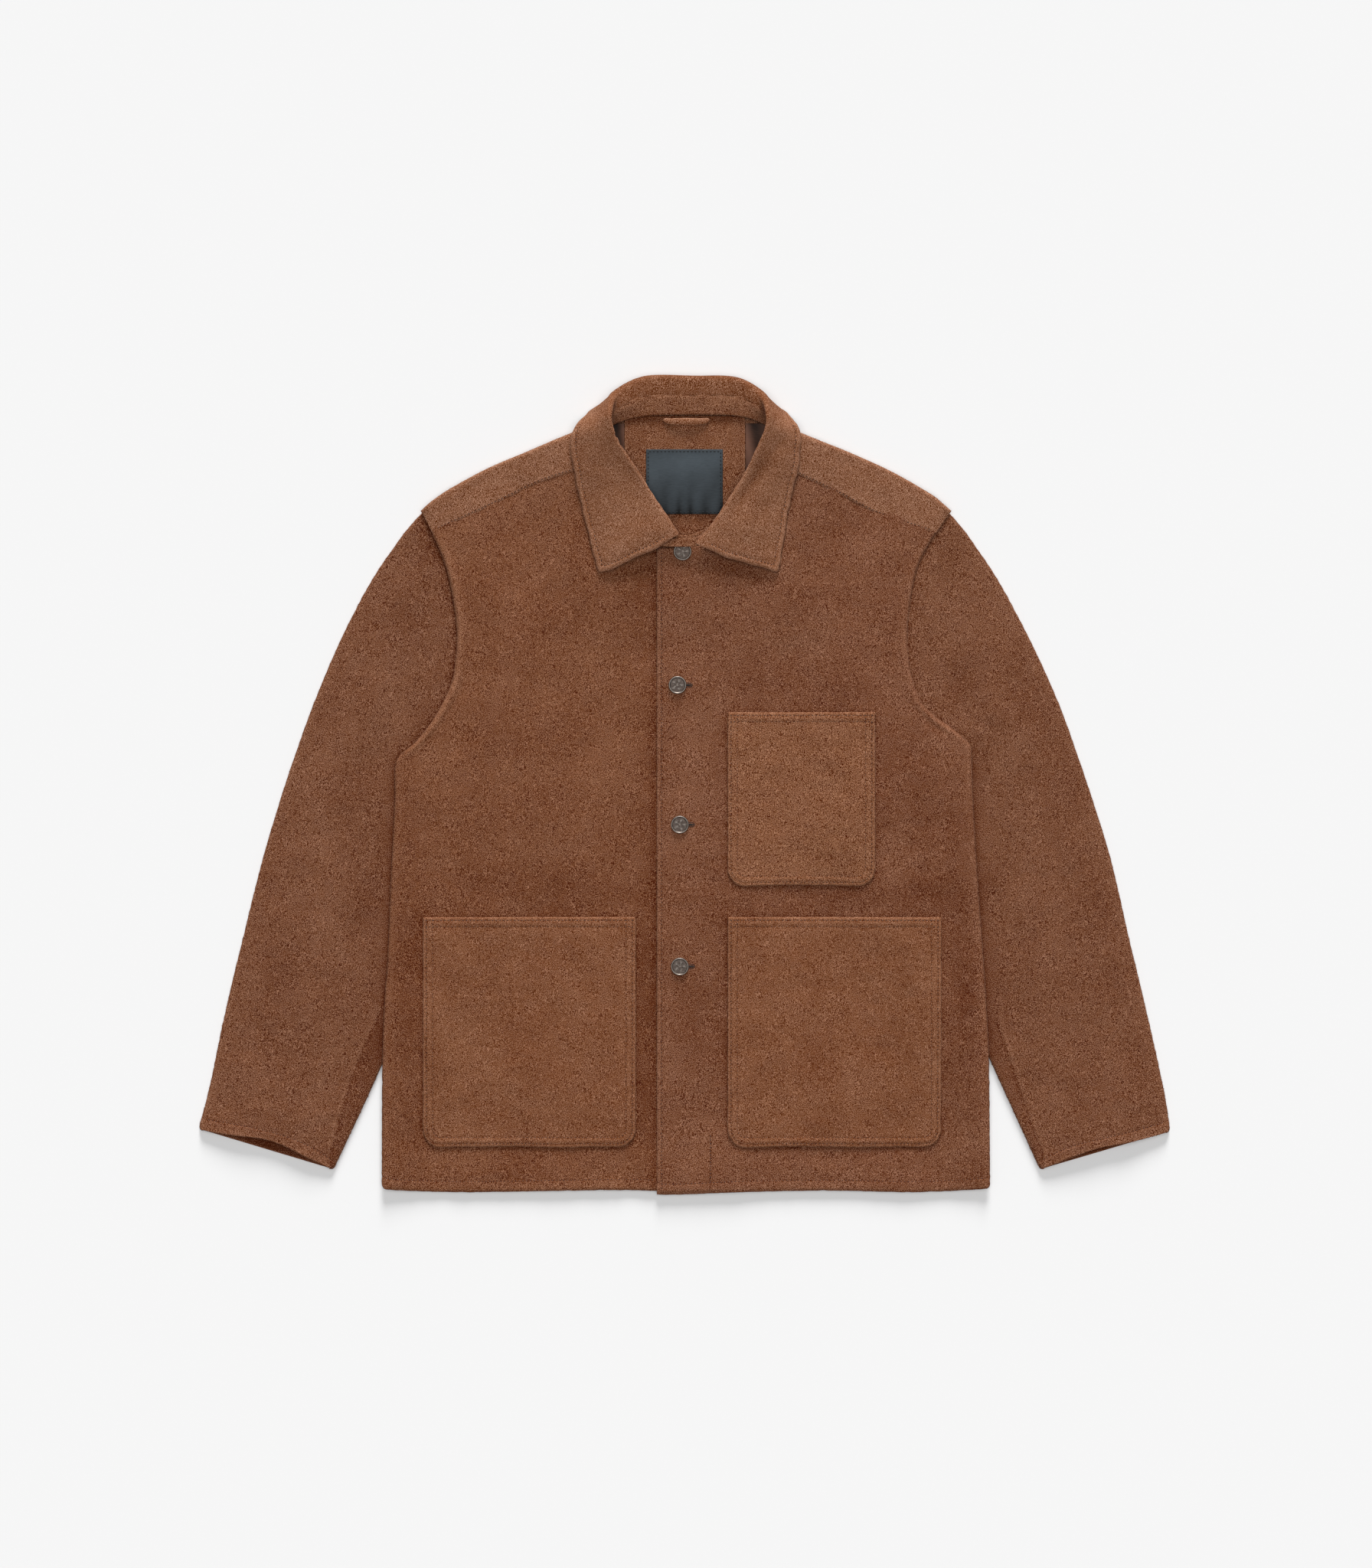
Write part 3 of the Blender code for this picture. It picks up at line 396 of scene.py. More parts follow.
def suedeMaterial(name, code, napTurn=35.0, flecks=1.0, seed=0.0):
    # Split cowhide, buffed to a long uneven nap: no gloss, light tips over dark roots, cloudy patches
    # where the nap lies another way
    material, shader = newMaterial(name)
    place = addNode(material, "ShaderNodeTexCoord").outputs["Object"]
    moved = addNode(material, "ShaderNodeMapping", {
        "Vector": place, "Location": (seed, seed * 0.7, seed * 0.3)}).outputs["Vector"]
    swept = addNode(material, "ShaderNodeMapping", {
        "Vector": moved, "Rotation": (0, 0, math.radians(napTurn)), "Scale": (1.0, 0.65, 1.0)}).outputs["Vector"]
    crossed = addNode(material, "ShaderNodeMapping", {
        "Vector": moved, "Rotation": (0, 0, math.radians(napTurn - 85)), "Scale": (1.0, 0.65, 1.0)}).outputs["Vector"]
    fleckOne = addNode(material, "ShaderNodeTexNoise", {
        "Vector": swept, "Scale": perMetre(suedeLook["fleckMm"]), "Detail": 1.0}).outputs["Fac"]
    fleckTwo = addNode(material, "ShaderNodeTexNoise", {
        "Vector": crossed, "Scale": perMetre(suedeLook["fleckMm"]), "Detail": 1.0}).outputs["Fac"]
    curl = addNode(material, "ShaderNodeTexNoise", {
        "Vector": moved, "Scale": perMetre(suedeLook["curlMm"]), "Detail": 2.0, "Distortion": 1.4}).outputs["Fac"]
    blotch = addNode(material, "ShaderNodeTexNoise", {
        "Vector": moved, "Scale": perMetre(suedeLook["blotchMm"]), "Detail": 3.0, "Roughness": 0.6}).outputs["Fac"]
    cloud = addNode(material, "ShaderNodeTexNoise", {
        "Vector": moved, "Scale": perMetre(suedeLook["cloudMm"]), "Detail": 2.0}).outputs["Fac"]
    lie = addNode(material, "ShaderNodeMapRange", {
        "Value": blotch, "From Min": 0.4, "From Max": 0.6}).outputs["Result"]
    fleck = addNode(material, "ShaderNodeMix", {"Factor": lie, "A": fleckOne, "B": fleckTwo}).outputs["Result"]
    # the tone attribute brings each piece's patches of nap, painted highlight and painted shade into the colour
    tone = addNode(material, "ShaderNodeAttribute", attribute_name="tone").outputs["Fac"]
    total = tone
    for noise, gain in ((fleck, suedeLook["fleckGain"] * flecks), (curl, suedeLook["curlGain"] * flecks),
                        (blotch, suedeLook["blotchGain"]), (cloud, suedeLook["cloudGain"])):
        centred = addNode(material, "ShaderNodeMath", {0: noise, 1: gain, 2: -gain / 2}, operation="MULTIPLY_ADD").outputs[0]
        total = addNode(material, "ShaderNodeMath", {0: total, 1: centred}, operation="ADD").outputs[0]
    factor = addNode(material, "ShaderNodeMath", {0: total, 1: 0.5}, operation="ADD", use_clamp=True).outputs[0]
    ramp = addNode(material, "ShaderNodeValToRGB", {"Fac": factor})
    stops = ramp.color_ramp.elements
    while len(stops) < 5:
        stops.new(0.5)
    for stop, where in zip(stops, (0.0, 0.25, 0.5, 0.75, 1.0)):
        stop.position = where
        stop.color = (*shifted(code, (where - 0.5) * 2 * suedeLook["levels"]), 1)
    material.node_tree.links.new(ramp.outputs["Color"], shader.inputs["Base Color"])
    shader.inputs["Roughness"].default_value = 0.95
    shader.inputs["Specular IOR Level"].default_value = 0.06
    shader.inputs["Sheen Weight"].default_value = 0.05
    shader.inputs["Sheen Roughness"].default_value = 0.5
    shader.inputs["Sheen Tint"].default_value = (0.85, 0.62, 0.48, 1)
    pile = addNode(material, "ShaderNodeMath", {0: fleck, 1: curl}, operation="ADD").outputs[0]
    bump = addNode(material, "ShaderNodeBump", {
        "Height": pile, "Strength": 0.28 * flecks, "Distance": 0.0004}).outputs["Normal"]
    material.node_tree.links.new(bump, shader.inputs["Normal"])
    return material


def satinMaterial(name, code, streak, gloss, sheen):
    # Filament satin, woven: smooth, with a broad sheen across the threads and faint slubs
    material, shader = newMaterial(name)
    place = addNode(material, "ShaderNodeTexCoord").outputs["Object"]
    stretched = addNode(material, "ShaderNodeMapping", {"Vector": place, "Scale": (0.12, 1.0, 1.0)}).outputs["Vector"]
    thread = addNode(material, "ShaderNodeTexNoise", {
        "Vector": stretched, "Scale": perMetre(0.6), "Detail": 1.5}).outputs["Fac"]
    soft = addNode(material, "ShaderNodeTexNoise", {
        "Vector": place, "Scale": perMetre(18.0), "Detail": 2.0}).outputs["Fac"]
    added = addNode(material, "ShaderNodeMath", {0: thread, 1: soft}, operation="ADD").outputs[0]
    grain = addNode(material, "ShaderNodeMapRange", {
        "Value": added, "From Min": 0.7, "From Max": 1.3, "To Min": 1 - streak, "To Max": 1 + streak}).outputs["Result"]
    # the tone attribute brings painted sheen and painted shade of folds and puckers into the colour
    tone = addNode(material, "ShaderNodeAttribute", attribute_name="tone").outputs["Fac"]
    value = addNode(material, "ShaderNodeMath", {0: grain, 1: tone}, operation="ADD").outputs[0]
    colour = addNode(material, "ShaderNodeVectorMath", {
        0: linear(code), "Scale": value}, operation="SCALE").outputs["Vector"]
    material.node_tree.links.new(colour, shader.inputs["Base Color"])
    shader.inputs["Roughness"].default_value = 0.42
    shader.inputs["Specular IOR Level"].default_value = gloss
    shader.inputs["Sheen Weight"].default_value = 0.04
    shader.inputs["Sheen Tint"].default_value = (*sheen, 1)
    bump = addNode(material, "ShaderNodeBump", {
        "Height": thread, "Strength": 0.2, "Distance": 0.0002}).outputs["Normal"]
    material.node_tree.links.new(bump, shader.inputs["Normal"])
    return material


def threadMaterial(name, code):
    # Spun polyester sewing thread, twisted: dull, slightly uneven in colour from stitch to stitch
    material, shader = newMaterial(name)
    place = addNode(material, "ShaderNodeTexCoord").outputs["Object"]
    change = addNode(material, "ShaderNodeTexNoise", {
        "Vector": place, "Scale": perMetre(2.6), "Detail": 1.0}).outputs["Fac"]
    value = addNode(material, "ShaderNodeMapRange", {
        "Value": change, "From Min": 0.3, "From Max": 0.7, "To Min": 0.7, "To Max": 1.3}).outputs["Result"]
    colour = addNode(material, "ShaderNodeVectorMath", {
        0: linear(code), "Scale": value}, operation="SCALE").outputs["Vector"]
    material.node_tree.links.new(colour, shader.inputs["Base Color"])
    shader.inputs["Roughness"].default_value = 0.8
    return material


def buttonMaterial(name):
    # Stamped brass, plated dark nickel and rubbed back: dull grey-brown, brighter where it is worn
    material, shader = newMaterial(name)
    place = addNode(material, "ShaderNodeTexCoord").outputs["Object"]
    tarnish = addNode(material, "ShaderNodeTexNoise", {
        "Vector": place, "Scale": perMetre(1.6), "Detail": 3.0, "Roughness": 0.65}).outputs["Fac"]
    wear = addNode(material, "ShaderNodeAttribute", attribute_name="wear").outputs["Fac"]
    patchy = addNode(material, "ShaderNodeMapRange", {
        "Value": tarnish, "From Min": 0.35, "From Max": 0.68, "To Min": -0.25, "To Max": 0.25}).outputs["Result"]
    amount = addNode(material, "ShaderNodeMath", {0: wear, 1: patchy}, operation="ADD", use_clamp=True).outputs[0]
    colour = addNode(material, "ShaderNodeMix", {
        "Factor": amount, "A": (*linear("453c37"), 1), "B": (*linear("a0968d"), 1)}, data_type="RGBA").outputs["Result"]
    rough = addNode(material, "ShaderNodeMapRange", {
        "Value": tarnish, "From Min": 0.3, "From Max": 0.7, "To Min": 0.3, "To Max": 0.5}).outputs["Result"]
    material.node_tree.links.new(colour, shader.inputs["Base Color"])
    material.node_tree.links.new(rough, shader.inputs["Roughness"])
    shader.inputs["Metallic"].default_value = 1.0
    bump = addNode(material, "ShaderNodeBump", {
        "Height": tarnish, "Strength": 0.25, "Distance": 0.0002}).outputs["Normal"]
    material.node_tree.links.new(bump, shader.inputs["Normal"])
    return material


def backdropMaterial(name):
    # Matt white paper sweep
    material, shader = newMaterial(name)
    place = addNode(material, "ShaderNodeTexCoord").outputs["Object"]
    grain = addNode(material, "ShaderNodeTexNoise", {
        "Vector": place, "Scale": perMetre(3.0), "Detail": 2.0}).outputs["Fac"]
    value = addNode(material, "ShaderNodeMapRange", {
        "Value": grain, "To Min": 0.895, "To Max": 0.905}).outputs["Result"]
    colour = addNode(material, "ShaderNodeCombineXYZ", {"X": value, "Y": value, "Z": value}).outputs["Vector"]
    material.node_tree.links.new(colour, shader.inputs["Base Color"])
    shader.inputs["Roughness"].default_value = 1.0
    shader.inputs["Specular IOR Level"].default_value = 0.0
    return material


napShell = suedeMaterial("splitSuedeBrushedFronts", "6f4126", seed=0.0)
napRight = suedeMaterial("splitSuedeBrushedRightFront", "6f4023", napTurn=50, seed=1.3)
napSleeve = suedeMaterial("splitSuedeBrushedSleeves", "6d4025", napTurn=20, seed=2.1)
napBack = suedeMaterial("splitSuedeBrushedBack", "815337", napTurn=-30, seed=3.7)
napPocket = suedeMaterial("splitSuedeBrushedPockets", "754629", napTurn=65, seed=4.4, flecks=0.8)
napChest = suedeMaterial("splitSuedeBrushedChestPocket", "784829", napTurn=10, seed=5.2, flecks=1.25)
napCollar = suedeMaterial("splitSuedeBrushedCollar", "825438", napTurn=25, seed=6.6, flecks=0.8)
napInside = suedeMaterial("splitSuedeFleshSide", "744629", napTurn=-20, seed=7.9, flecks=1.1)
liningSatin = satinMaterial("viscoseSatinLining", "583c30", streak=0.12, gloss=0.08, sheen=(0.75, 0.5, 0.4))
labelSatin = satinMaterial("polyesterSatinLabel", "3b4247", streak=0.16, gloss=0.12, sheen=(0.6, 0.66, 0.72))
brownThread = threadMaterial("spunPolyesterThreadBrown", "3f2417")
darkThread = threadMaterial("spunPolyesterThreadDark", "15181b")
# dark sheet standing for the shade inside the buttonhole slits: painted shade
paintedSlitShade = threadMaterial("shadedSuedeEdge", "1c120d")
agedMetal = buttonMaterial("agedNickelPlatedBrass")
print("materials made")


back = {"sideInset": 3.5, "armholeInset": 10.0, "hemInset": 1.5, "edgeDrop": 3.0, "rowStep": 7.0,
        "shoulderLines": 56, "neckLines": 26, "flapRows": 22, "sink": 1.8,
        "creases": ((-90, 120, 70, 90, 14, 0.35), (110, 60, 105, 110, 16, 0.35), (20, -160, 85, 120, 15, 0.3),
                    (-160, -200, 100, 90, 12, 0.3), (170, -250, 80, 80, 12, 0.3), (0, 270, 5, 90, 16, 0.3))}


def shoulderLines(side, shares):
    # axis that the fold turns round, the way out, the fold's radius, and the seam
    fold = alongPath(softPath(coat["shoulderFold"][side]), shares)
    seam = alongPath(softPath(coat["shoulderSeam"][side]), shares)
    ahead = np.gradient(fold, axis=0)
    outward = unit(np.stack([ahead[:, 1], -ahead[:, 0]], axis=-1) * sides[side])
    radius = (flapUnder(*fold.T) - backUnder(*fold.T)) / 2
    return fold - outward * (radius + cloth["suede"] / 2)[:, None], outward, radius, seam


def yokeRelief(x, y, side):
    # soft unevenness, with the seam allowance lying as a low band above the seam
    fromSeam = y - seamY[side](x)
    band = 0.15 * (fade(fromSeam, -1.0, 5.0) - fade(fromSeam, 8.5, 5.0))
    return 0.25 * uneven(x, y, 45, 21) + 0.12 * uneven(x, y, 17, 22) + band


collarRows = {
    # neck x, y; band x, y, up; roll x, y, up; rim x, y, z; bend
    "right": (
        (9, 353, 9, 370, 1.6, 9, 389.6, -2.3, 9, 334, 1.4, 4.2),
        (-33, 352, -35, 369, 1.9, -38, 389.1, -1.7, -36, 334, 1.4, 4.2),
        (-60, 347, -62, 359, 5.0, -65, 374.5, 4.0, -82, 356, 1.4, 4.0),
        (-76, 337, -74, 343, 9.0, -70, 356, 15.5, -94.5, 351.5, 4.6, 3.2),
        (-81, 322, -77, 327, 9.5, -69.2, 341, 17.5, -106.0, 335.5, 13.6, 3.0),
        (-77, 303, -70, 309, 8.0, -61.0, 322, 15.0, -107.2, 315, None, 2.8),
        (-64, 283, -56, 288, 6.0, -46.5, 301, 13.0, -103.5, 293, None, 2.6),
        (-46, 264, -40, 268, 4.0, -31.5, 277, 10.0, -97.5, 267, None, 2.4),
        (-30, 248, -25, 252, 2.6, -18.5, 258, 7.5, -90.0, 234, None, 2.2),
        (-18, 238, -14, 240, 1.4, -6.0, 239.0, 6.0, -81.0, 202.0, None, 2.0),
    ),
    "left": (
        (9, 353, 9, 370, 1.6, 9, 389.6, -2.3, 9, 334, 1.4, 4.2),
        (48, 352, 50, 369, 1.9, 50, 388.0, -1.7, 50, 334, 1.4, 4.2),
        (70, 347, 71, 359, 5.0, 73, 373.5, 4.0, 90, 355, 1.4, 4.0),
        (85, 337, 83, 343, 9.0, 78.3, 355, 15.5, 100, 350.5, 4.6, 3.2),
        (90, 322, 86, 327, 9.5, 77.5, 339, 17.5, 109.5, 334.5, 13.6, 3.0),
        (83, 303, 78, 308, 8.0, 67.5, 315.5, 15.0, 109.5, 315, None, 2.8),
        (71, 283, 66, 287, 6.0, 57.5, 295, 13.0, 106.0, 294, None, 2.6),
        (56, 264, 51, 267, 4.0, 43.0, 272.5, 10.0, 100.5, 269, None, 2.4),
        (36, 246, 33, 248, 2.6, 27.0, 248.5, 7.5, 95.0, 240, None, 2.2),
        (21, 230, 19, 235, 2.4, 11.5, 229.8, 7.5, 89.5, 203.5, None, 2.0),
    ),
}


def makeBack():
    lowRow = coat["bodyEdge"][0][0]
    start = float(hemY["right"](-280.0)) + back["hemInset"]
    y = np.linspace(start, 255.0, int((255.0 - lowRow) / back["rowStep"]))
    inset = back["sideInset"] + (back["armholeInset"] - back["sideInset"]) * fade(y, 0.0, 60.0)
    inset = inset - (inset - cloth["suede"]) * fade(y, 215.0, 40.0)
    shares = np.concatenate([[0, 0.006, 0.014, 0.025, 0.04, 0.06], np.linspace(0.08, 1, back["shoulderLines"] - 6)])
    shoulders = {side: shoulderLines(side, shares) for side in sides}
    rightEnd, leftEnd = shoulders["right"][0], shoulders["left"][0]
    neck = [(row[0], row[1] + 1.0) for row in collarRows["right"][2::-1] + collarRows["left"][1:3]]
    neckPath = softPath([rightEnd[-1]] + neck + [leftEnd[-1]])
    neckPoints = alongPath(neckPath, np.linspace(0.0, 1.0, back["neckLines"]))
    top = np.vstack([rightEnd, neckPoints[1:-1], leftEnd[::-1]])
    rightEdge = np.stack([edgeX["right"](y) + inset, y], axis=-1)
    leftEdge = np.stack([edgeX["left"](y) - inset, y], axis=-1)
    rightEdge[-1], leftEdge[-1] = top[0], top[-1]
    run = np.concatenate([[0.0], np.cumsum(np.linalg.norm(np.diff(top, axis=0), axis=1))])
    bottomX = rightEdge[0, 0] + (leftEdge[0, 0] - rightEdge[0, 0]) * run / run[-1]
    bottom = np.stack([bottomX, np.maximum(hemY["right"](bottomX), hemY["left"](bottomX)) + back["hemInset"]], axis=-1)
    rightEdge[0], leftEdge[0] = bottom[0], bottom[-1]
    plan = fill(bottom, top, rightEdge, leftEdge)
    x, y = plan[..., 0], plan[..., 1]
    lift = 0.22 * (1 + 0.8 * np.clip(uneven(x, y, 60, 11), -1.2, 1.2)) + ridges(x, y, back["creases"])
    flat = withHeight(plan, backUnder(x, y) + lift * fade(edgeX["left"](y) - np.abs(x), 4.0, 20.0) + cloth["suede"] / 2)
    turns = np.radians([-60.0, -30.0, 0.0, 30.0, 60.0, 90.0])
    down = np.linspace(0.0, 1.0, back["flapRows"] + 1)[1:] ** 0.9
    flaps = np.full((len(turns) + len(down), flat.shape[1], 3), np.nan)
    tones = np.zeros(flat.shape[:2])
    flapTones = np.zeros(flaps.shape[:2])
    drop = back["edgeDrop"] * (1 - np.clip(shares / 0.045, 0, 1)) ** 1.6
    count = len(shares)
    for side, (axis, outward, radius, seam) in shoulders.items():
        line = slice(0, count) if side == "right" else slice(-1, -count - 1, -1)
        middle = backUnder(*axis.T) + cloth["suede"] / 2 + radius
        for row, turn in enumerate(turns):
            spot = axis + outward * (radius * math.cos(turn))[:, None]
            height = middle + radius * math.sin(turn) - drop * (1 + math.sin(turn)) / 2
            flaps[row, line] = withHeight(spot, height)
            # painted highlight on the outermost line of the shoulder fold
            flapTones[row, line] = 0.05 * math.cos(turn)
        for row, part in enumerate(down, start=len(turns)):
            spot = axis + (seam - axis) * part
            height = flapUnder(*spot.T) + cloth["suede"] / 2 - drop * (1.1 - 0.9 * part)
            height = height + yokeRelief(spot[:, 0], spot[:, 1], side) * fade(part, 0.0, 0.25)
            height = height - back["sink"] * part
            flaps[row, line] = withHeight(spot, height)
            # lighter at the shoulder point; painted highlight near the yoke's lower edge; random patches
            flapTones[row, line] = 0.07 * bell(shares, 0.0, 0.03) + 0.07 * bell(part, 0.9, 0.07) \
                + 0.03 * uneven(spot[:, 0], spot[:, 1], 40, 24)
    piece = clothPiece("back", np.concatenate([flat, flaps]), cloth["suede"], napBack, "suede_shell",
                       tone=np.concatenate([tones, flapTones]))
    for line in (slice(0, count), slice(-count, None)):
        roll, inner = flaps[2, line], flaps[2, line].copy()
        inner[:, :2] -= unit(roll[:, :2] - flaps[5, line, :2])
        looseEdges["back"][0].append((roll + (roll - inner) * 0.5, inner))
    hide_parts("back")
    return piece


front = {
    "step": 2.6, "edgeDrop": 2.4, "ridge": {"right": 1.3, "left": 0.55}, "lap": 8.0,
    "hemBand": 9.8,  # hem stitching above the edge
    "placketStitch": 4.2, "facingStitchX": 24.9, "corner": 3.5,
    "creases": {
        "right": ((-120, 215, 62, 60, 9, 0.45), (-150, 60, 75, 90, 14, -0.4), (-75, 120, 88, 110, 11, -0.35),
                  (-200, -60, 96, 80, 12, 0.4), (-235, 55, 40, 35, 8, 0.5), (-222, 30, 32, 40, 7, -0.4),
                  (-60, -220, 90, 120, 9, 0.35), (-265, -230, 91, 110, 8, -0.4), (-150, -368, 4, 90, 7, 0.35)),
        "left": ((115, 225, 115, 60, 9, 0.45), (75, 130, 92, 80, 12, 0.35), (205, -60, 84, 90, 13, 0.4),
                 (232, 52, 140, 35, 8, 0.5), (215, 28, 150, 40, 7, -0.4), (262, -180, 89, 130, 8, -0.4),
                 (30, -60, 91, 160, 7, -0.3), (120, -368, -3, 90, 7, 0.3), (190, 95, 105, 70, 11, -0.35)),
    },
}


# darker or lighter patches of nap; the last row on each front is painted shadow below a collar leaf: x, y, degrees,
# half length, half width, change of tone
napAndShadowPatches = {
    "front_right": ((-145, -95, 0, 105, 24, -0.10), (-176, 58, 0, 45, 35, -0.05), (-266, -190, 90, 120, 14, -0.09),
                    (-34, -230, 90, 130, 11, -0.09), (-155, 275, 25, 45, 22, 0.05), (-232, 36, 60, 30, 20, 0.07),
                    (-70, -5, 80, 40, 24, 0.05), (-95, 190, 70, 70, 18, -0.04), (-120, 90, 20, 60, 30, 0.03),
                    (-60, -375, 0, 40, 14, 0.05), (-180, -372, 0, 60, 12, -0.05), (-48, 207, 25, 40, 8, -0.10)),
    "front_left": ((228, -30, 95, 85, 26, -0.11), (222, -100, 0, 34, 18, -0.08), (107, 92, 0, 70, 15, -0.08),
                   (144, -110, 0, 85, 11, -0.12), (268, -200, 90, 75, 15, -0.14), (272, -335, 90, 40, 14, 0.04),
                   (10, -225, 90, 60, 24, -0.11), (10, -335, 90, 45, 22, 0.05), (8, 45, 90, 50, 20, 0.08),
                   (60, 190, 60, 50, 24, 0.04), (232, 44, 135, 28, 16, 0.05), (150, 240, 100, 50, 30, -0.04),
                   (28, -120, 90, 60, 12, -0.06), (52, 205, -22, 44, 9, -0.18)),
    "sleeve_right": ((-262, 185, 60, 55, 16, -0.06), (-390, -170, 75, 50, 22, -0.05), (-345, -80, 70, 50, 25, 0.04),
                     (-300, 60, 60, 60, 22, 0.03), (-300, -100, 66, 60, 14, -0.06), (-410, -300, 60, 40, 30, 0.03)),
    "sleeve_left": ((240, 184, 100, 55, 15, 0.11), (410, -140, 110, 45, 18, -0.09), (432, -256, 105, 40, 20, -0.07),
                    (340, -110, 110, 60, 20, 0.04), (300, 90, 120, 60, 24, -0.03), (300, -150, 112, 60, 14, -0.05)),
    "pocket_lower_right": ((-217, -256, 90, 50, 18, 0.03), (-140, -220, 30, 50, 30, -0.03)),
    "pocket_lower_left": ((70, -190, 60, 40, 25, 0.03), (150, -260, 0, 60, 40, -0.02)),
    "pocket_chest": ((75, -50, 0, 45, 25, 0.03), (130, 30, 40, 40, 20, -0.02)),
}


def shadeBesidePockets(x, y, side):
    # painted shade all round the outside of a pocket, most at its right-hand edge and its bottom
    dark = 0.0
    for look in pockets.values():
        if look["side"] == side:
            away = -pocketInset(x, y, look["box"], look["corner"])
            more = 1.0 + 0.5 * (x < look["box"][0]) + 0.3 * (y < look["box"][3])
            dark = dark + more * (0.16 * bell(away, 1.0, 2.0) + 0.05 * bell(away, 4.0, 8.0))
    return dark


def frontRelief(x, y, side):
    seed = 31 if side == "right" else 41
    relief = 0.3 * uneven(x, y, 70, seed) + 0.16 * uneven(x, y, 24, seed + 1) + 0.07 * uneven(x, y, 9, seed + 2)
    return relief + ridges(x, y, front["creases"][side])


def frontShape(x, y, side):
    # height of the front's middle surface: its layer, soft relief, rolled outer edge and armhole ridge,
    # turned hem and, on the left, the rolled closing edge
    sign = sides[side]
    outward = (edgeX[side](y) - x) * sign
    height = frontUnders[side](x, y) + cloth["suede"] / 2
    height = height + frontRelief(x, y, side) * fade(outward, 2.0, 14.0)
    height = height - front["edgeDrop"] * (1 - np.clip(outward / 3.6, 0, 1)) ** 2.0
    onArmhole = fade(y, 20.0, 40.0) * (1.0 - fade(y, 190.0, 30.0))
    height = height + front["ridge"][side] * (onArmhole + 0.35) * bell(outward, 5.0, 4.0)
    above = y - hemY[side](x)
    height = height + 0.9 * (1 - fade(above, 5.0, 45.0)) + 0.45 * (1 - fade(above, 8.5, 3.0)) \
        - 0.35 * bell(above, front["hemBand"], 1.1)
    height = height - 0.9 * (1 - np.clip(above / 2.4, 0, 1)) ** 2
    if side == "left":
        inward = x - coat["placketEdge"]
        height = height + 0.5 * (1 - fade(inward, 5.5, 4.0)) - 0.3 * bell(inward, front["placketStitch"], 1.0)
        height = height - 1.2 * (1 - np.clip(inward / 2.6, 0, 1)) ** 2
        height = height - 1.7 * (1 - fade(above, 0.0, 4.0)) * (1 - fade(x, 15.0, 35.0))
    return height


def frontTone(x, y, side):
    # edges and ridges lighter, from rubbed nap and painted highlight; painted shade in the stitch lines and beside what
    # lies on the front
    outward = (edgeX[side](y) - x) * sides[side]
    above = y - hemY[side](x)
    onArmhole = fade(y, 20.0, 30.0) * (1 - fade(y, 205.0, 30.0))
    # lighter outer edge and turned hem, most on the armhole ridge: rubbed nap and painted highlight
    tone = bell(outward, 3.5, 3.6) * (0.07 + 0.12 * onArmhole * front["ridge"][side]) + 0.09 * bell(above, 3.5, 4.5)
    # painted shade in the hem's stitch line, and a darker band in from the side edge low down
    tone = tone - 0.14 * bell(above, front["hemBand"], 0.9) - 0.06 * bell(outward, 20.0, 15.0) * (1 - fade(y, -20.0, 50.0))
    tone = tone + 0.035 * uneven(x, y, 60, 51) + ridges(x, y, napAndShadowPatches["front_" + side]) - shadeBesidePockets(x, y, side)
    # painted shade along the yoke's lower edge, with a lighter band below it
    tone = tone - 0.20 * bell(y - seamY[side](x), -0.4, 0.9) + 0.04 * bell(y - seamY[side](x), -9.0, 6.0)
    if side == "left":
        inward = x - coat["placketEdge"]
        # lighter rolled closing edge: rubbed nap and painted highlight; painted shade in its stitch line
        tone = tone + 0.17 * bell(inward, 1.4, 1.8) - 0.12 * bell(inward, front["placketStitch"], 0.8)
        # painted shade in the facing's stitch line near the hem
        onFacing = 1 - fade(y, -340.0, 12.0)
        tone = tone - 0.14 * bell(x, front["facingStitchX"], 0.9) * onFacing
    else:
        # painted shadow of the left front's closing edge on the right front
        tone = tone - 0.24 * bell(x, coat["placketEdge"] - 2.0, 4.0) - 0.06 * bell(x, coat["placketEdge"] - 12.0, 14.0)
    return tone


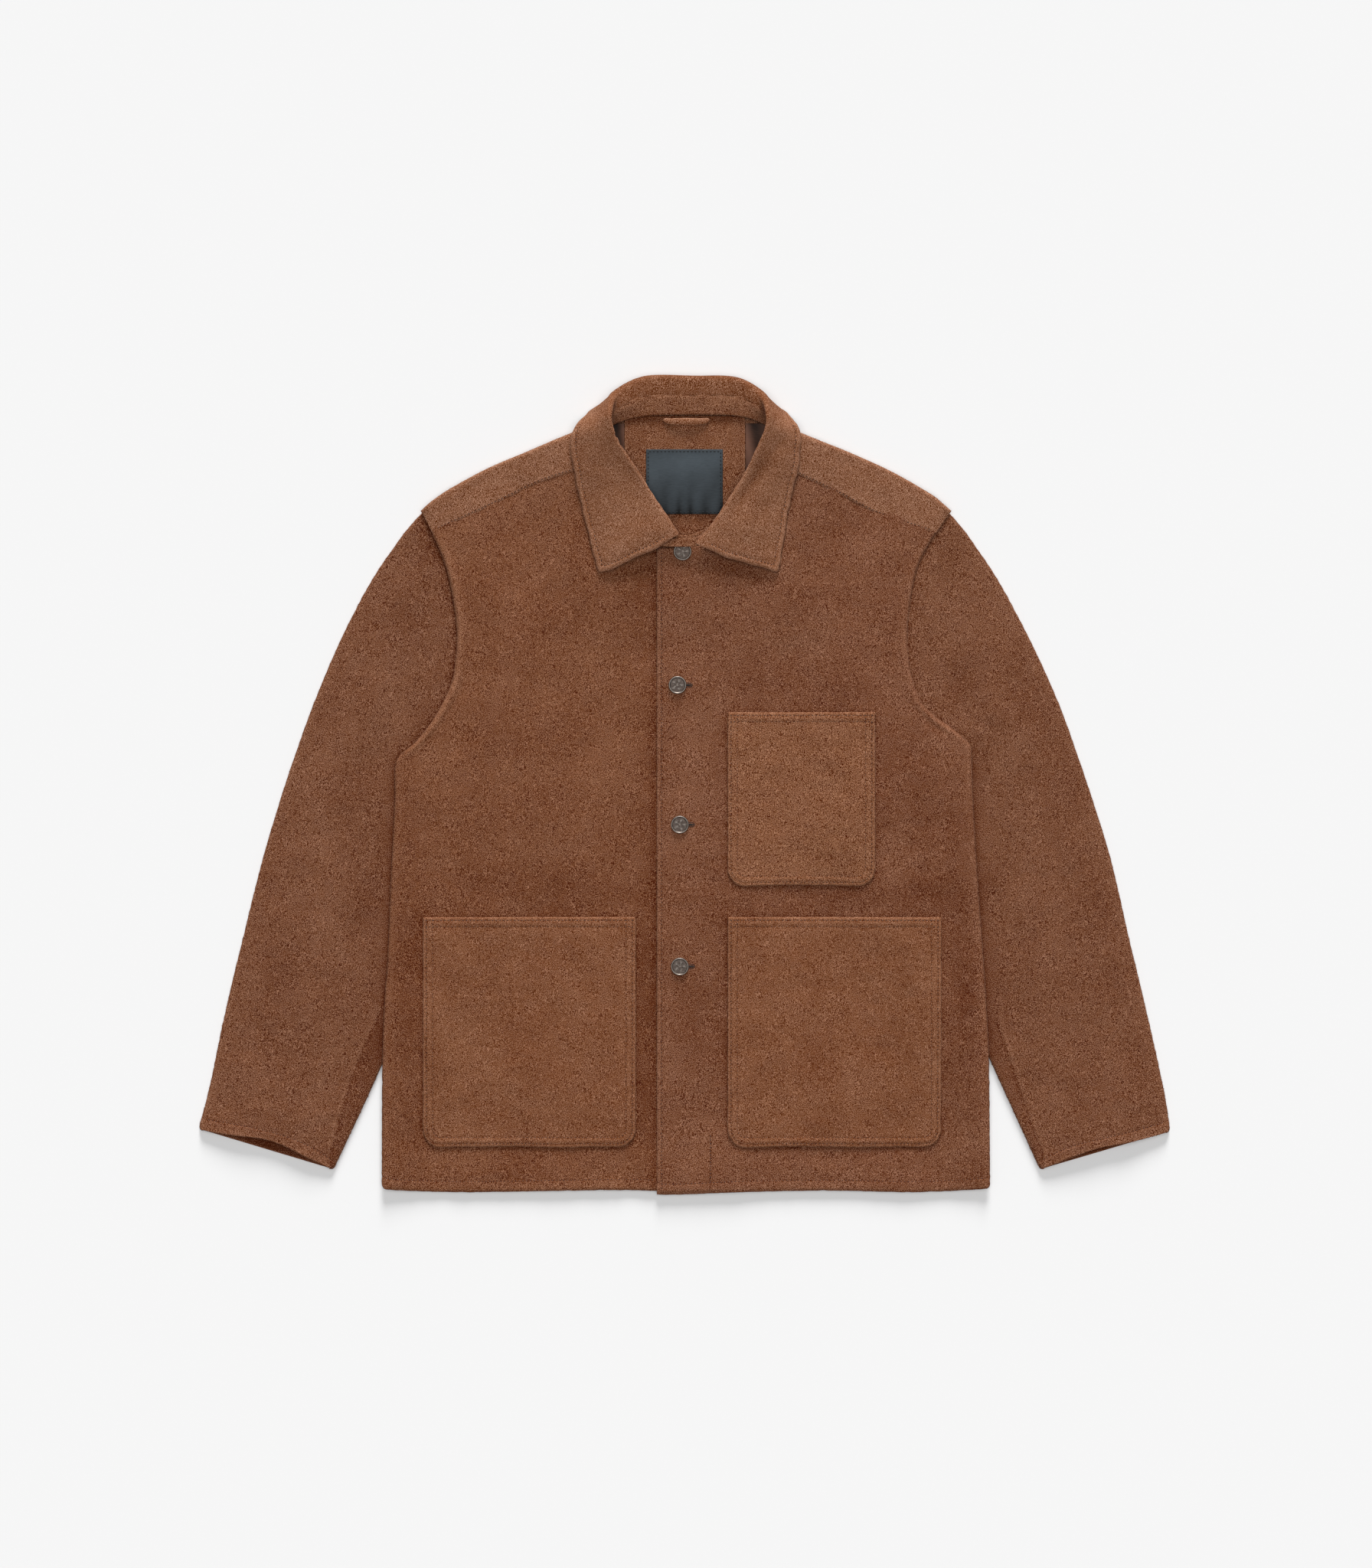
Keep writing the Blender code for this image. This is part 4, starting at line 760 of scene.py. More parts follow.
def makeFront(side, material):
    sign = sides[side]
    innerX = coat["placketEdge"] if side == "left" else coat["underEdge"]
    start = float(hemY[side](float(edgeX[side](-389.0)))) + front["corner"]
    y = start + (240.0 - start) * spacing(240.0 - start, front["step"], ends=1)
    outer = np.stack([edgeX[side](y) - sign * cloth["suede"] / 2, y], axis=-1)
    outer[:, 0] += 0.16 * uneven(y, 0, 8, 35)
    width = abs(innerX - outer[0, 0])
    steps = spacing(width, front["step"])
    bottomX = outer[0, 0] - sign * steps * width
    # the corner is a quarter circle
    nearCorner = np.clip(1 - np.abs(bottomX - outer[0, 0]) / front["corner"], 0, 1)
    lift = front["corner"] * (1 - np.sqrt(1 - nearCorner**2)) + 0.16 * uneven(bottomX, 0, 9, 36)
    bottom = np.stack([bottomX, hemY[side](bottomX) + lift], axis=-1)
    outer[0] = bottom[0]
    seam = softPath(coat["shoulderSeam"][side]) + np.array([0.0, front["lap"]])
    seam[0] = outer[-1]
    neck = softPath([row[:2] for row in collarRows[side] if row[1] < 310.0] + [(innerX, coat["neckEnd"][side])])
    topPath = np.vstack([seam, neck])
    top = alongPath(topPath, steps)
    shares = (outer[:, 1] - outer[0, 1]) / (outer[-1, 1] - outer[0, 1])
    inner = np.stack([np.full(len(y), innerX), bottom[-1, 1] + shares * (top[-1, 1] - bottom[-1, 1])], axis=-1)
    plan = fill(bottom, top, outer, inner)
    x, yy = plan[..., 0], plan[..., 1]
    grid = withHeight(plan, frontShape(x, yy, side))
    tone = frontTone(x, yy, side)
    piece = clothPiece("front_" + side, grid[:, ::-sign], cloth["suede"], material, "suede_shell",
                       tone=tone[:, ::-sign], loose="blr" if side == "left" else "bl")
    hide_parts("front_" + side)
    return piece


sleeve = {
    "outer": {
        "right": ((-252.6, 260.5), (-268.8, 241.7), (-294.4, 205.1), (-314.9, 168.5), (-332.5, 131.8),
                  (-355.2, 76.9), (-380.8, 3.7), (-402.8, -69.6), (-421.1, -142.8), (-438.7, -216.1),
                  (-454.1, -289.3), (-464.6, -328.9)),
        "left": ((255.6, 260.5), (271.0, 241.7), (295.9, 205.1), (316.4, 168.5), (334.7, 131.8),
                 (358.9, 76.9), (384.5, 3.7), (407.2, -69.6), (424.1, -142.8), (441.6, -216.1),
                 (457.8, -289.3), (464.6, -331.0)),
    },
    "inner": {
        "right": ((-178.7, -29.3), (-236.0, -153.0), (-288.6, -266.6), (-305.4, -303.9), (-335.4, -367.7)),
        "left": ((186.0, -29.3), (240.0, -148.0), (291.5, -261.5), (309.1, -300.3), (339.8, -367.7)),
    },
    "fold": 2.5, "loft": 2.4, "bow": {"right": 22.0, "left": 29.0}, "mouth": 2.2, "hemBand": 10.2,
    "rise": {"right": 0.8, "left": 1.7},  # up to the front's edge beside the armhole
    "setBack": {"right": (7.4, 3.4), "left": (0.6, 5.4)}, "corner": 4.0,
    "creases": {
        "right": ((-300, 60, 70, 90, 14, 0.6), (-335, -30, 66, 80, 10, -0.5), (-390, -120, 72, 90, 10, 0.5),
                  (-300, -120, 65, 60, 12, -0.6), (-420, -260, 75, 60, 9, -0.45), (-360, -250, 70, 70, 12, 0.5),
                  (-285, 170, 50, 60, 12, 0.5), (-270, 10, 85, 60, 12, -0.5)),
        "left": ((300, 60, 110, 90, 14, 0.6), (338, -30, 114, 80, 10, -0.5), (392, -120, 108, 90, 10, 0.5),
                 (302, -125, 115, 60, 12, -0.6), (424, -260, 105, 60, 9, -0.45), (362, -250, 110, 70, 12, 0.5),
                 (290, 170, 130, 60, 12, 0.5), (272, 10, 95, 60, 12, -0.5)),
    },
    # underarm seam on the upper layer
    "seam": {
        "right": ((-287.8, -210.2), (-312.0, -265.9), (-322.3, -295.9), (-328.9, -318.6), (-338.4, -354.5)),
        "left": ((298.8, -227.0), (310.5, -262.9), (324.5, -303.9), (330.3, -321.5), (342.0, -352.0)),
    },
}


def sleeveLines(side, shares):
    outer = alongPath(softPath(sleeve["outer"][side]), shares)
    inner = alongPath(softPath(sleeve["inner"][side]), shares)
    return outer, inner


def sleeveSurface(side, shares, across, upper):
    # points of the upper or lower wall: rows along the sleeve, columns from outer to inner fold
    sign = sides[side]
    outer, inner = sleeveLines(side, shares)
    width = np.linalg.norm(inner - outer, axis=1)
    way = (inner - outer) / width[:, None]
    toBody = np.stack([way[:, 1], -way[:, 0]], axis=-1) * sign
    radius = sleeve["fold"] / 2
    fromCuff = (1 - shares) * pathLength(softPath(sleeve["outer"][side]))
    turn = np.clip(1 - fromCuff / sleeve["corner"], 0, 1)
    # corners of the cuff are quarter circles
    margin = (radius + cloth["suede"] / 2 + sleeve["corner"] * 0.7 * (1 - np.sqrt(1 - turn**2))
              + 0.16 * uneven(outer[:, 1], 0, 8, 67)) / width
    s = margin[:, None] + (1 - 2 * margin[:, None]) * across[None, :]
    hump = np.sin(np.pi * s)
    bow = sleeve["bow"][side] * (1 - shares) ** 3
    plan = outer[:, None] + (inner - outer)[:, None] * s[..., None] \
        + toBody[:, None] * (bow[:, None] * np.sqrt(hump))[..., None]
    along = unit(np.gradient(plan, axis=0))
    height = np.full(s.shape, cloth["suede"] / 2)
    nearCuff = (fade(shares, 0.72, 0.28) ** 2)[:, None]
    if upper:
        even, leaning = sleeve["setBack"][side]
        gape = even * hump + leaning * np.sin(np.pi * s**2.2)
        plan = plan - along * (gape * nearCuff)[..., None]
        x, y = plan[..., 0], plan[..., 1]
        outside = (x - edgeX[side](y)) * sign
        clear = fade(outside, 12.0, 60.0)
        loft = sleeve["loft"] * clear + ridges(x, y, folds) * fade(outside, 12.0, 40.0)
        height = height + sleeve["fold"] + (loft + sleeve["mouth"] * nearCuff) * hump**0.8
        beside = fade(outside, -14.0, 8.0) * (1 - fade(outside, 12.0, 30.0)) * fade(y, 20.0, 40.0)
        height = height + sleeve["rise"][side] * beside
        fromCuff = fromCuff[:, None]
        relief = 0.3 * uneven(x, y, 60, 61) + 0.18 * uneven(x, y, 22, 62) + ridges(x, y, sleeve["creases"][side])
        height = height + relief * fade(outside, 2.0, 20.0) * np.clip(hump * 3, 0, 1)
        height = height - 0.35 * bell(fromCuff, sleeve["hemBand"], 1.2) + 0.4 * (1 - fade(fromCuff, 8.0, 3.0))
        height = height - 0.4 * bell(seamAway(x, y, side), 0.0, 1.6) * onSeam(y)
    return plan, height


def seamAway(x, y, side):
    # distance across from the underarm seam line
    rows = softPath(sleeve["seam"][side])[::-1]
    return (x - np.interp(y, rows[:, 1], rows[:, 0])) * 0.92


def onSeam(y):
    # the seam shows on the lower part of the sleeve only
    return 1 - fade(y, -230.0, 50.0)


def makeSleeve(side):
    sign = sides[side]
    outer = sleeveLines(side, np.linspace(0, 1, 50))[0]
    shares = 1 - spacing(pathLength(outer), 2.8, ends=1)[::-1]
    # columns are closest at the folds and along the underarm seam
    upperAcross = np.concatenate([[0, 0.006, 0.016, 0.03, 0.05, 0.075], np.linspace(0.1, 0.8, 40),
                                  np.linspace(0.81, 0.965, 18), [0.985, 1.0]])
    lowerAcross = np.linspace(1.0, 0.0, 22)
    upPlan, upHeight = sleeveSurface(side, shares, upperAcross, True)
    lowPlan, lowHeight = sleeveSurface(side, shares, lowerAcross, False)
    upper, lower = withHeight(upPlan, upHeight), withHeight(lowPlan, lowHeight)
    outerLine, innerLine = sleeveLines(side, shares)
    way = unit(innerLine - outerLine)
    radius = sleeve["fold"] / 2

    def turnOver(start, outward, first):
        # half circle of the fold between the two walls
        angles = np.radians(np.array([60.0, 30.0, 0.0, -30.0, -60.0]) * first)
        spot = start[:, None, :2] + outward[:, None] * (radius * np.cos(angles))[None, :, None]
        height = start[:, None, 2] + radius + radius * np.sin(angles)[None, :]
        return withHeight(spot, height)

    ring = np.concatenate([upper, turnOver(lower[:, 0], way, 1), lower, turnOver(lower[:, -1], -way, -1)], axis=1)
    x, y = upper[..., 0], upper[..., 1]
    fromCuff = (1 - shares[:, None]) * pathLength(outer)
    # the fold line is lighter, from rubbed nap and painted highlight; painted shade beside the body and in the stitch
    # lines
    # painted shade on the sleeve beside the body's edge, strongest on the right
    beside = 0.28 if side == "right" else 0.10 + 0.14 * (1 - fade(y, 0.0, 60.0))
    outside = (x - edgeX[side](y)) * sign
    upTone = 0.08 * bell(upperAcross, 0.0, 0.02)[None, :] - beside * bell(outside, -1.0, 4.0) \
        - beside * 0.3 * bell(outside, 0.0, 14.0)
    # painted shade in the cuff's stitch line; lighter cuff edge
    upTone = upTone - 0.15 * bell(fromCuff, sleeve["hemBand"], 1.1) + 0.08 * bell(fromCuff, 1.0, 2.0)
    away = seamAway(x, y, side)
    panel = {"right": 0.17, "left": 0.09}[side]
    # at the underarm seam: a lighter strip beside it, painted shade in the seam line, the panel past it darker
    upTone = upTone + onSeam(y) * (0.12 * bell(away, 3.0 * sign, 1.8) - 0.24 * bell(away, 0.0, 1.2)
                                   - panel * fade(-sign * away, 0.0, 2.0))
    upTone = upTone + 0.035 * uneven(x, y, 70, 65) + ridges(x, y, napAndShadowPatches["sleeve_" + side])
    tone = np.zeros(ring.shape[:2])
    tone[:, :upper.shape[1]] = upTone
    # painted shade on the lower wall, which shows inside the open cuff, lifted to a light rim at the cuff's edge
    tone[:, upper.shape[1] + 5:upper.shape[1] + 5 + lower.shape[1]] = -0.42 + 0.45 * bell(fromCuff, 0.0, 1.6)
    piece = clothPiece("sleeve_" + side, ring[:, ::sign], cloth["suede"], napSleeve, "suede_shell",
                       closed=True, tone=tone[:, ::sign])
    foldLines = []
    for column, sense in ((upper.shape[1] + 2, 1), (upper.shape[1] + lower.shape[1] + 7, -1)):
        out = withHeight(way * sense, np.zeros(len(way)))
        foldLines.append((ring[:, column] + out * 0.6, ring[:, column]))
    looseEdges["sleeve_" + side][0].extend(foldLines + [(upper[-1], upper[-2])])
    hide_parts("sleeve_" + side)
    return piece


collar = {"swell": 3.0, "spans": 14, "cutBack": -4.0, "cutFront": -0.8, "stitchIn": 5.2, "pointRadius": 3.6,
          # free ends of the band: lower and upper edge, and lift over the front
          "ends": {"right": ((-6.0, 231.0, -5.0, 238.6, 1.2), (5.0, 231.5, 5.5, 238.4, 0.6),
                             (15.0, 235.0, 15.5, 242.5, 0.2), (26.0, 240.0, 27.0, 248.5, 0.0)),
                   "left": ((9.0, 227.0, 9.5, 235.5, 5.2), (-2.0, 226.6, -2.0, 234.8, 5.2),
                            (-12.0, 226.8, -12.0, 234.6, 4.0), (-24.0, 227.6, -24.5, 235.0, 1.3))}}


def collarSections():
    # sections round the neck, from the right front end to the left one
    sections = []
    for row in collarRows["right"][::-1] + collarRows["left"][1:]:
        neckX, neckY, bandX, bandY, bandUp, rollX, rollY, rollUp, rimX, rimY, rimZ, bend = row
        onBack = neckY > 346.0
        below = innerTop(neckX, neckY) + cloth["patchAir"] + cloth["suede"] if onBack else outerTop(neckX, neckY)
        neckZ = below + cloth["seamAir"] + cloth["collar"] / 2
        if rimZ is None:
            rimZ = outerTop(rimX, rimY) + cloth["patchAir"] + cloth["collar"] / 2
        sections.append([neckX, neckY, neckZ, bandX, bandY, neckZ + bandUp, rollX, rollY, neckZ + rollUp,
                         rimX, rimY, float(rimZ), bend])
    return np.array(sections, float)


def fallGrid():
    # across: up from the band seam, round the roll as part of a circle, then out to the rim
    dense = softPath(collarSections(), collar["spans"])
    band, roll, rim, bend = dense[:, 3:6], dense[:, 6:9], dense[:, 9:12], dense[:, 12:13]
    toBand, toRim = unit(band - roll), unit(rim - roll)
    inward = unit(toBand + toRim)
    over = toRim - toBand
    over = unit(over - inward * np.sum(over * inward, axis=1)[:, None])
    centre = roll + inward * bend
    lines = [band]
    for degrees in (-80.0, -35.0, 10.0, 55.0, 90.0):
        angle = math.radians(degrees)
        lines.append(centre + bend * (over * math.sin(angle) - inward * math.cos(angle)))
    start = lines[-1]
    swell = collar["swell"] * fade(over[:, 2:], 0.1, 0.5)
    for part in (0.33, 0.67, 1.0):
        spot = start + (rim - start) * part + over * swell * (part * (1 - part) * 4)
        rests = outerTop(spot[:, 0], spot[:, 1]) + cloth["patchAir"] + cloth["collar"] / 2
        spot[:, 2] = np.where(dense[:, 1] < 330.0, np.maximum(spot[:, 2], rests), spot[:, 2])
        lines.append(spot)
    return dense, np.stack(lines)


def evenGrid(lines):
    # the fall's surface again on rows and columns that are fine beside the leaf ends and the rim
    acrossShares = 1 - spacing(80.0, 2.3, ends=1)[::-1]
    surface = softPath(lines, 6).transpose(1, 0, 2)
    surface = np.stack([alongPath(row, acrossShares) for row in surface])
    step = np.linalg.norm(np.diff(surface[:, -1], axis=0), axis=1) + np.linalg.norm(np.diff(surface[:, 0], axis=0), axis=1)
    run = np.concatenate([[0.0], np.cumsum(step)]) / step.sum()
    where = np.interp(spacing(460.0, 2.6), run, np.arange(len(run)))
    low = np.clip(where.astype(int), 0, len(run) - 2)
    part = (where - low)[:, None, None]
    return surface[low] * (1 - part) + surface[low + 1] * part


def roundPoints(grid, fromEnd, fromRim, radius):
    # square corner of side radius pressed onto a quarter disc: u' = u sqrt(1 - v^2/2), and the same for v
    u = np.clip((radius - fromEnd) / radius, 0, 1)
    v = np.clip((radius - fromRim) / radius, 0, 1)
    moveU = radius * (u - u * np.sqrt(1 - v * v / 2))
    moveV = radius * (v - v * np.sqrt(1 - u * u / 2))
    half = grid.shape[0] // 2
    intoRows = unit(np.gradient(grid, axis=0))
    intoRows[half:] *= -1
    intoColumns = -unit(np.gradient(grid, axis=1))
    return grid + intoRows * moveU[..., None] * (u > 0)[..., None] + intoColumns * moveV[..., None]


def makeCollar():
    dense, lines = fallGrid()
    grid = evenGrid(lines)
    rows, columns = grid.shape[:2]
    length = np.concatenate([np.zeros((rows, 1)), np.cumsum(np.linalg.norm(np.diff(grid, axis=1), axis=2), axis=1)], axis=1)
    fromRim = length[:, -1:] - length
    step = np.linalg.norm(np.diff(grid, axis=0), axis=2)
    run = np.concatenate([np.zeros((1, columns)), np.cumsum(step, axis=0)])
    fromEnd = np.minimum(run, run[-1:] - run)
    edge = np.minimum(fromRim, fromEnd)
    x, y = grid[..., 0].copy(), grid[..., 1].copy()
    grid = roundPoints(grid, fromEnd, fromRim, collar["pointRadius"])
    onFall = fade(length, 16.0, 10.0)
    grid[..., 2] += onFall * (0.22 * uneven(x, y, 40, 71) + 0.12 * uneven(x, y, 15, 72)) * fade(edge, 0.0, 6.0)
    # edges of the leaves wander a little in the plane
    nearEdge = onFall * (1 - fade(edge, 0.0, 12.0))
    grid[..., 0] += nearEdge * (0.7 * uneven(y, 0, 34, 73) + 0.25 * uneven(y, 0, 8, 79))
    grid[..., 1] += nearEdge * (0.7 * uneven(x, 0, 30, 74) + 0.25 * uneven(x, 0, 8, 80))
    # troughs down the left leaf and low ridges beside them
    grid[..., 2] += onFall * ridges(x, y, ((66, 290, 55, 46, 5, -1.2), (74, 276, 58, 46, 7, 0.8),
                                           (-70, 275, 118, 44, 9, 0.5), (-84, 248, 105, 34, 7, -0.4),
                                           (88, 235, 60, 26, 7, -0.35)))
    grid[..., 2] += onFall * (0.5 * bell(edge, 2.2, 2.0) - 0.4 * bell(edge, collar["stitchIn"], 0.9)
                              - 0.7 * (1 - np.clip(edge / 1.6, 0, 1)) ** 2)
    # its inner edge is sewn flush with the stand
    grid[..., 2] -= 0.5 * (1 - fade(length, 0.0, 5.0))
    # leaf edges lighter: rubbed nap and painted highlight; painted shade in the stitch line; painted highlight along
    # the roll on the fronts; painted shade inside the neck at the back and in the trough of the left leaf
    tone = onFall * (0.12 * bell(edge, 1.2, 1.6) - 0.12 * bell(edge, collar["stitchIn"], 0.8))
    tone = tone + 0.10 * bell(length, 15.0, 5.0) * fade(350.0 - y, 0.0, 25.0) \
        - 0.16 * fade(y, 338.0, 14.0) * (1 - fade(length, 30.0, 12.0))
    tone = tone + 0.03 * uneven(x, y, 50, 75) + 0.25 * onFall * ridges(x, y, ((66, 290, 55, 46, 5, -0.5),))
    fall = clothPiece("collar_fall", grid, cloth["collar"], napCollar, "suede_collar", tone=tone, loose="btr")
    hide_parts("collar_fall")

    # stand: from the neck seam to the seam of the fall, with its two free ends
    neck = dense[:, 0:3]
    lean = unit(lines[0] - neck)
    fromBack = np.abs(neck[:, :1] - collarRows["right"][0][0])
    cut = collar["cutBack"] + (collar["cutFront"] - collar["cutBack"]) * fade(fromBack, 40.0, 25.0)
    band = lines[0] - lean * cut
    for side, ends in collar["ends"].items():
        low, high = np.array([end[0:2] for end in ends]), np.array([end[2:4] for end in ends])
        rest = frontUnders[side](*low.T) + cloth["suede"] + cloth["seamAir"] + cloth["collar"] / 2
        height = rest + np.array([end[4] for end in ends])
        near = 0 if side == "right" else -1
        joined = [softPath(np.vstack([line[near], withHeight(edge, height + up)]), 7)[1:]
                  for line, edge, up in ((neck, low, 0.0), (band, high, 0.3))]
        if side == "right":
            neck, band = np.vstack([joined[0][::-1], neck]), np.vstack([joined[1][::-1], band])
        else:
            neck, band = np.vstack([neck, joined[0]]), np.vstack([band, joined[1]])
    part = np.linspace(0, 1, 15)[None, :, None]
    stand = neck[:, None] * (1 - part) + band[:, None] * part
    x, y = stand[..., 0], stand[..., 1]
    stand[..., 2] += 0.15 * uneven(x, y, 18, 77) - 0.7 * fade(part[..., 0], 0.70, 0.30) * fade(y, 300.0, 20.0)
    onFront = 1 - fade(y, 240.0, 16.0)
    # painted shade at the neck seam on the back; on the free ends over the front, painted highlight on the tiers' edges
    # and painted shade between them
    tone = (0.06 - 0.14 * bell(part[..., 0], 0.0, 0.25)) * (1 - onFront) + 0.05 * uneven(x, y, 30, 78)
    tone = tone + onFront * (0.15 * bell(part[..., 0], 0.2, 0.22) - 0.10 * bell(part[..., 0], 0.55, 0.10)
                             + 0.13 * bell(part[..., 0], 0.95, 0.2))
    piece = clothPiece("collar_stand", stand, cloth["collar"], napInside, "suede_collar", tone=tone)
    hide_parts("collar_stand")
    return fall, piece, grid


def ringAt(grid, inset):
    # line on the leaves at the given distance in from their edges, taken column by column and row by row
    half = cloth["collar"] / 2
    top = grid.copy()
    top[..., 2] += half
    rows, columns = grid.shape[:2]
    rim = []
    for row in range(rows):
        line = top[row, ::-1]
        run = np.concatenate([[0.0], np.cumsum(np.linalg.norm(np.diff(line, axis=0), axis=1))])
        rim.append([np.interp(inset, run, line[:, k]) for k in range(3)])
    rim = np.array(rim)
    ends = []
    for order in (slice(None), slice(None, None, -1)):
        side = []
        for column in range(columns):
            line = top[order, column]
            run = np.concatenate([[0.0], np.cumsum(np.linalg.norm(np.diff(line, axis=0), axis=1))])
            side.append([np.interp(inset, run, line[:, k]) for k in range(3)])
        side = np.array(side)
        run = np.concatenate([[0.0], np.cumsum(np.linalg.norm(np.diff(side, axis=0), axis=1))])
        ends.append(side[(run > 22.0) & (run < run[-1] - inset)])
    step = np.concatenate([[0.0], np.cumsum(np.linalg.norm(np.diff(rim, axis=0), axis=1))])
    leaf = (step > inset) & (step < step[-1] - inset) & (rim[:, 1] < 352.0)
    middle = len(rim) // 2
    right, left = rim[:middle][leaf[:middle]], rim[middle:][leaf[middle:]]
    return [right, left] + ends


neckPieces = {
    "facing": {"x": (-57.1, 57.9), "y": (352.0, 190.0)},
    "lining": {"right": (-74.0, -57.6), "left": (58.4, 82.0), "y": (345.0, 190.0)},
    "label": {"x": (-36.6, 36.6), "y": (320.0, 258.5), "ripple": 0.75, "waves": 5.5},
    "loop": {"x": (-20.5, 24.2), "y": (350.2, 343.6), "arch": 3.0},
    "fold": {"right": 2.6, "left": 3.4},
}


def onBackPanel(x, y):
    return innerTop(x, y) + cloth["patchAir"]


def flatPatch(xRange, yRange, step, height):
    left, right = xRange
    top, bottom = yRange
    x = left + (right - left) * spacing(right - left, step, (0, 0.6, 1.4, 2.4, 3.6))
    y = bottom + (top - bottom) * spacing(top - bottom, step, (0, 0.6, 1.4, 2.4, 3.6))
    x, y = np.meshgrid(x, y)
    return x, y, withHeight(np.stack([x, y], axis=-1), height(x, y))


def labelHeight(x, y):
    # puckers between the stitches, deepest at the lower edge, on a slack middle
    look = neckPieces["label"]
    side = x / look["x"][1]
    low = fade(-y, -292.0, 32.0)
    ripple = np.sin(side * look["waves"] * math.pi + 0.8 * np.sin(side * 5.1)) * (0.12 + 0.88 * low)
    slack = 0.6 * (1 - side**2) * np.sin(np.clip((y - look["y"][1]) / (look["y"][0] - look["y"][1]), 0, 1) * math.pi)
    return onBackPanel(x, y) + cloth["suede"] + cloth["seamAir"] + look["ripple"] * (1 + ripple) * 0.55 + slack


def labelTone(x, y):
    # painted sheen at the top where the satin faces the lamp and in soft bands; darker towards the bottom, with painted
    # shade in the puckers and along the edges
    look = neckPieces["label"]
    side = x / look["x"][1]
    down = (look["y"][0] - y) / (look["y"][0] - look["y"][1])
    low = fade(-y, -292.0, 32.0)
    pucker = np.cos(side * look["waves"] * math.pi + 0.8 * np.sin(side * 5.1))
    rim = np.minimum(1 - np.abs(side), np.minimum(down, 1 - down) * 0.84) * 36.6
    sheen = 0.28 * bell(down + 0.15 * side, 0.22, 0.2) - 0.5 * down**1.5 + 0.22 * pucker * low
    return sheen + 0.16 * np.sin(side * 9 + down * 6) * (1 - low) * down - 0.25 * bell(rim, 0.0, 2.2)


def liningWave(x, y, fold):
    # sine across the strip that leans and bends as it runs down
    return np.sin((x + 0.22 * (y - 300) + 3.0 * np.sin(y / 23.0)) / fold)


def makeNeckPieces():
    made = {}
    x, y, grid = flatPatch(neckPieces["facing"]["x"], neckPieces["facing"]["y"], 2.4,
                           lambda x, y: onBackPanel(x, y) + cloth["suede"] / 2 + 0.12 * uneven(x, y, 26, 81))
    rim = np.minimum(x - x.min(), x.max() - x)
    # lighter side edges; painted shade in the stitch lines, under the collar stand at the top and towards the bottom
    # between the collar leaves
    tone = 0.12 * bell(rim, 0.8, 1.4) - 0.10 * bell(rim, 4.0, 0.9) + 0.04 * uneven(x, y, 30, 82) \
        - 0.26 * bell(y, 350.0, 6.0)
    tone = tone - 0.15 * (1 - fade(y, 236.0, 26.0)) - 0.04
    made["facing"] = clothPiece("back_facing", grid, cloth["suede"], napInside, "suede_facing", tone=tone)
    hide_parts("back_facing")
    for side in sides:
        # satin in soft upright folds
        fold = neckPieces["fold"][side]
        x, y, grid = flatPatch(neckPieces["lining"][side], neckPieces["lining"]["y"], 1.4,
                               lambda x, y: onBackPanel(x, y) + cloth["satin"] / 2 + 0.45 * (1 + liningWave(x, y, fold)))
        # painted highlight and painted shade on the sides of the folds, and painted shade at the top under the collar
        tone = 0.55 * np.clip(liningWave(x + 1.5, y, fold), -0.9, 1) - 0.3 * bell(y, 346.0, 14.0)
        made["lining" + side] = clothPiece("lining_" + side, grid, cloth["satin"], liningSatin, "lining", tone=tone)
        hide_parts("lining_" + side)
    x, y, grid = flatPatch(neckPieces["label"]["x"], neckPieces["label"]["y"], 1.1,
                           lambda x, y: labelHeight(x, y) + cloth["satin"] / 2)
    made["label"] = clothPiece("label", grid, cloth["satin"], labelSatin, "label", tone=labelTone(x, y))
    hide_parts("label")
    loop = neckPieces["loop"]
    middle, half = sum(loop["x"]) / 2, (loop["x"][1] - loop["x"][0]) / 2
    x = middle + half * np.linspace(-1, 1, 60)[:, None]
    part = np.linspace(-1, 1, 13)[None, :]
    share = (x - middle) / half
    narrow = 0.62 + 0.38 * np.cos(share * math.pi / 2) ** 0.6 - 0.45 * fade(np.abs(share), 0.86, 0.14)
    y = (loop["y"][0] + loop["y"][1]) / 2 + 2.0 * np.abs(share) ** 5 - 0.6 + part * (loop["y"][0] - loop["y"][1]) / 2 * narrow
    z = onBackPanel(x, y) + cloth["suede"] + cloth["seamAir"] + cloth["satin"] / 2 \
        + loop["arch"] * (1 - ((x - middle) / half) ** 2) + 0.5 * (1 - part**2) * narrow
    grid = np.stack([np.broadcast_to(x, y.shape), y, z], axis=-1)[:, ::-1]
    # painted highlight along the loop's upper edge, painted shade along its lower edge
    tone = 0.25 * bell(part, 0.85, 0.3) - 0.15 * bell(part, -0.6, 0.4) + 0 * x
    made["loop"] = clothPiece("hanger_loop", grid, cloth["satin"], napCollar, "suede_facing", tone=tone[:, ::-1])
    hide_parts("hanger_loop")
    return made


pockets = {
    "pocket_lower_right": {"side": "right", "box": (-249.0, -46.9, -126.7, -345.7), "corner": 17.0},
    "pocket_lower_left": {"side": "left", "box": (41.7, 244.6, -126.7, -345.7), "corner": 17.0},
    "pocket_chest": {"side": "left", "box": (41.7, 181.6, 68.8, -95.9), "corner": 16.0},
}
pocketLook = {"puff": 1.2, "rows": (2.9, 8.8), "step": 2.4}


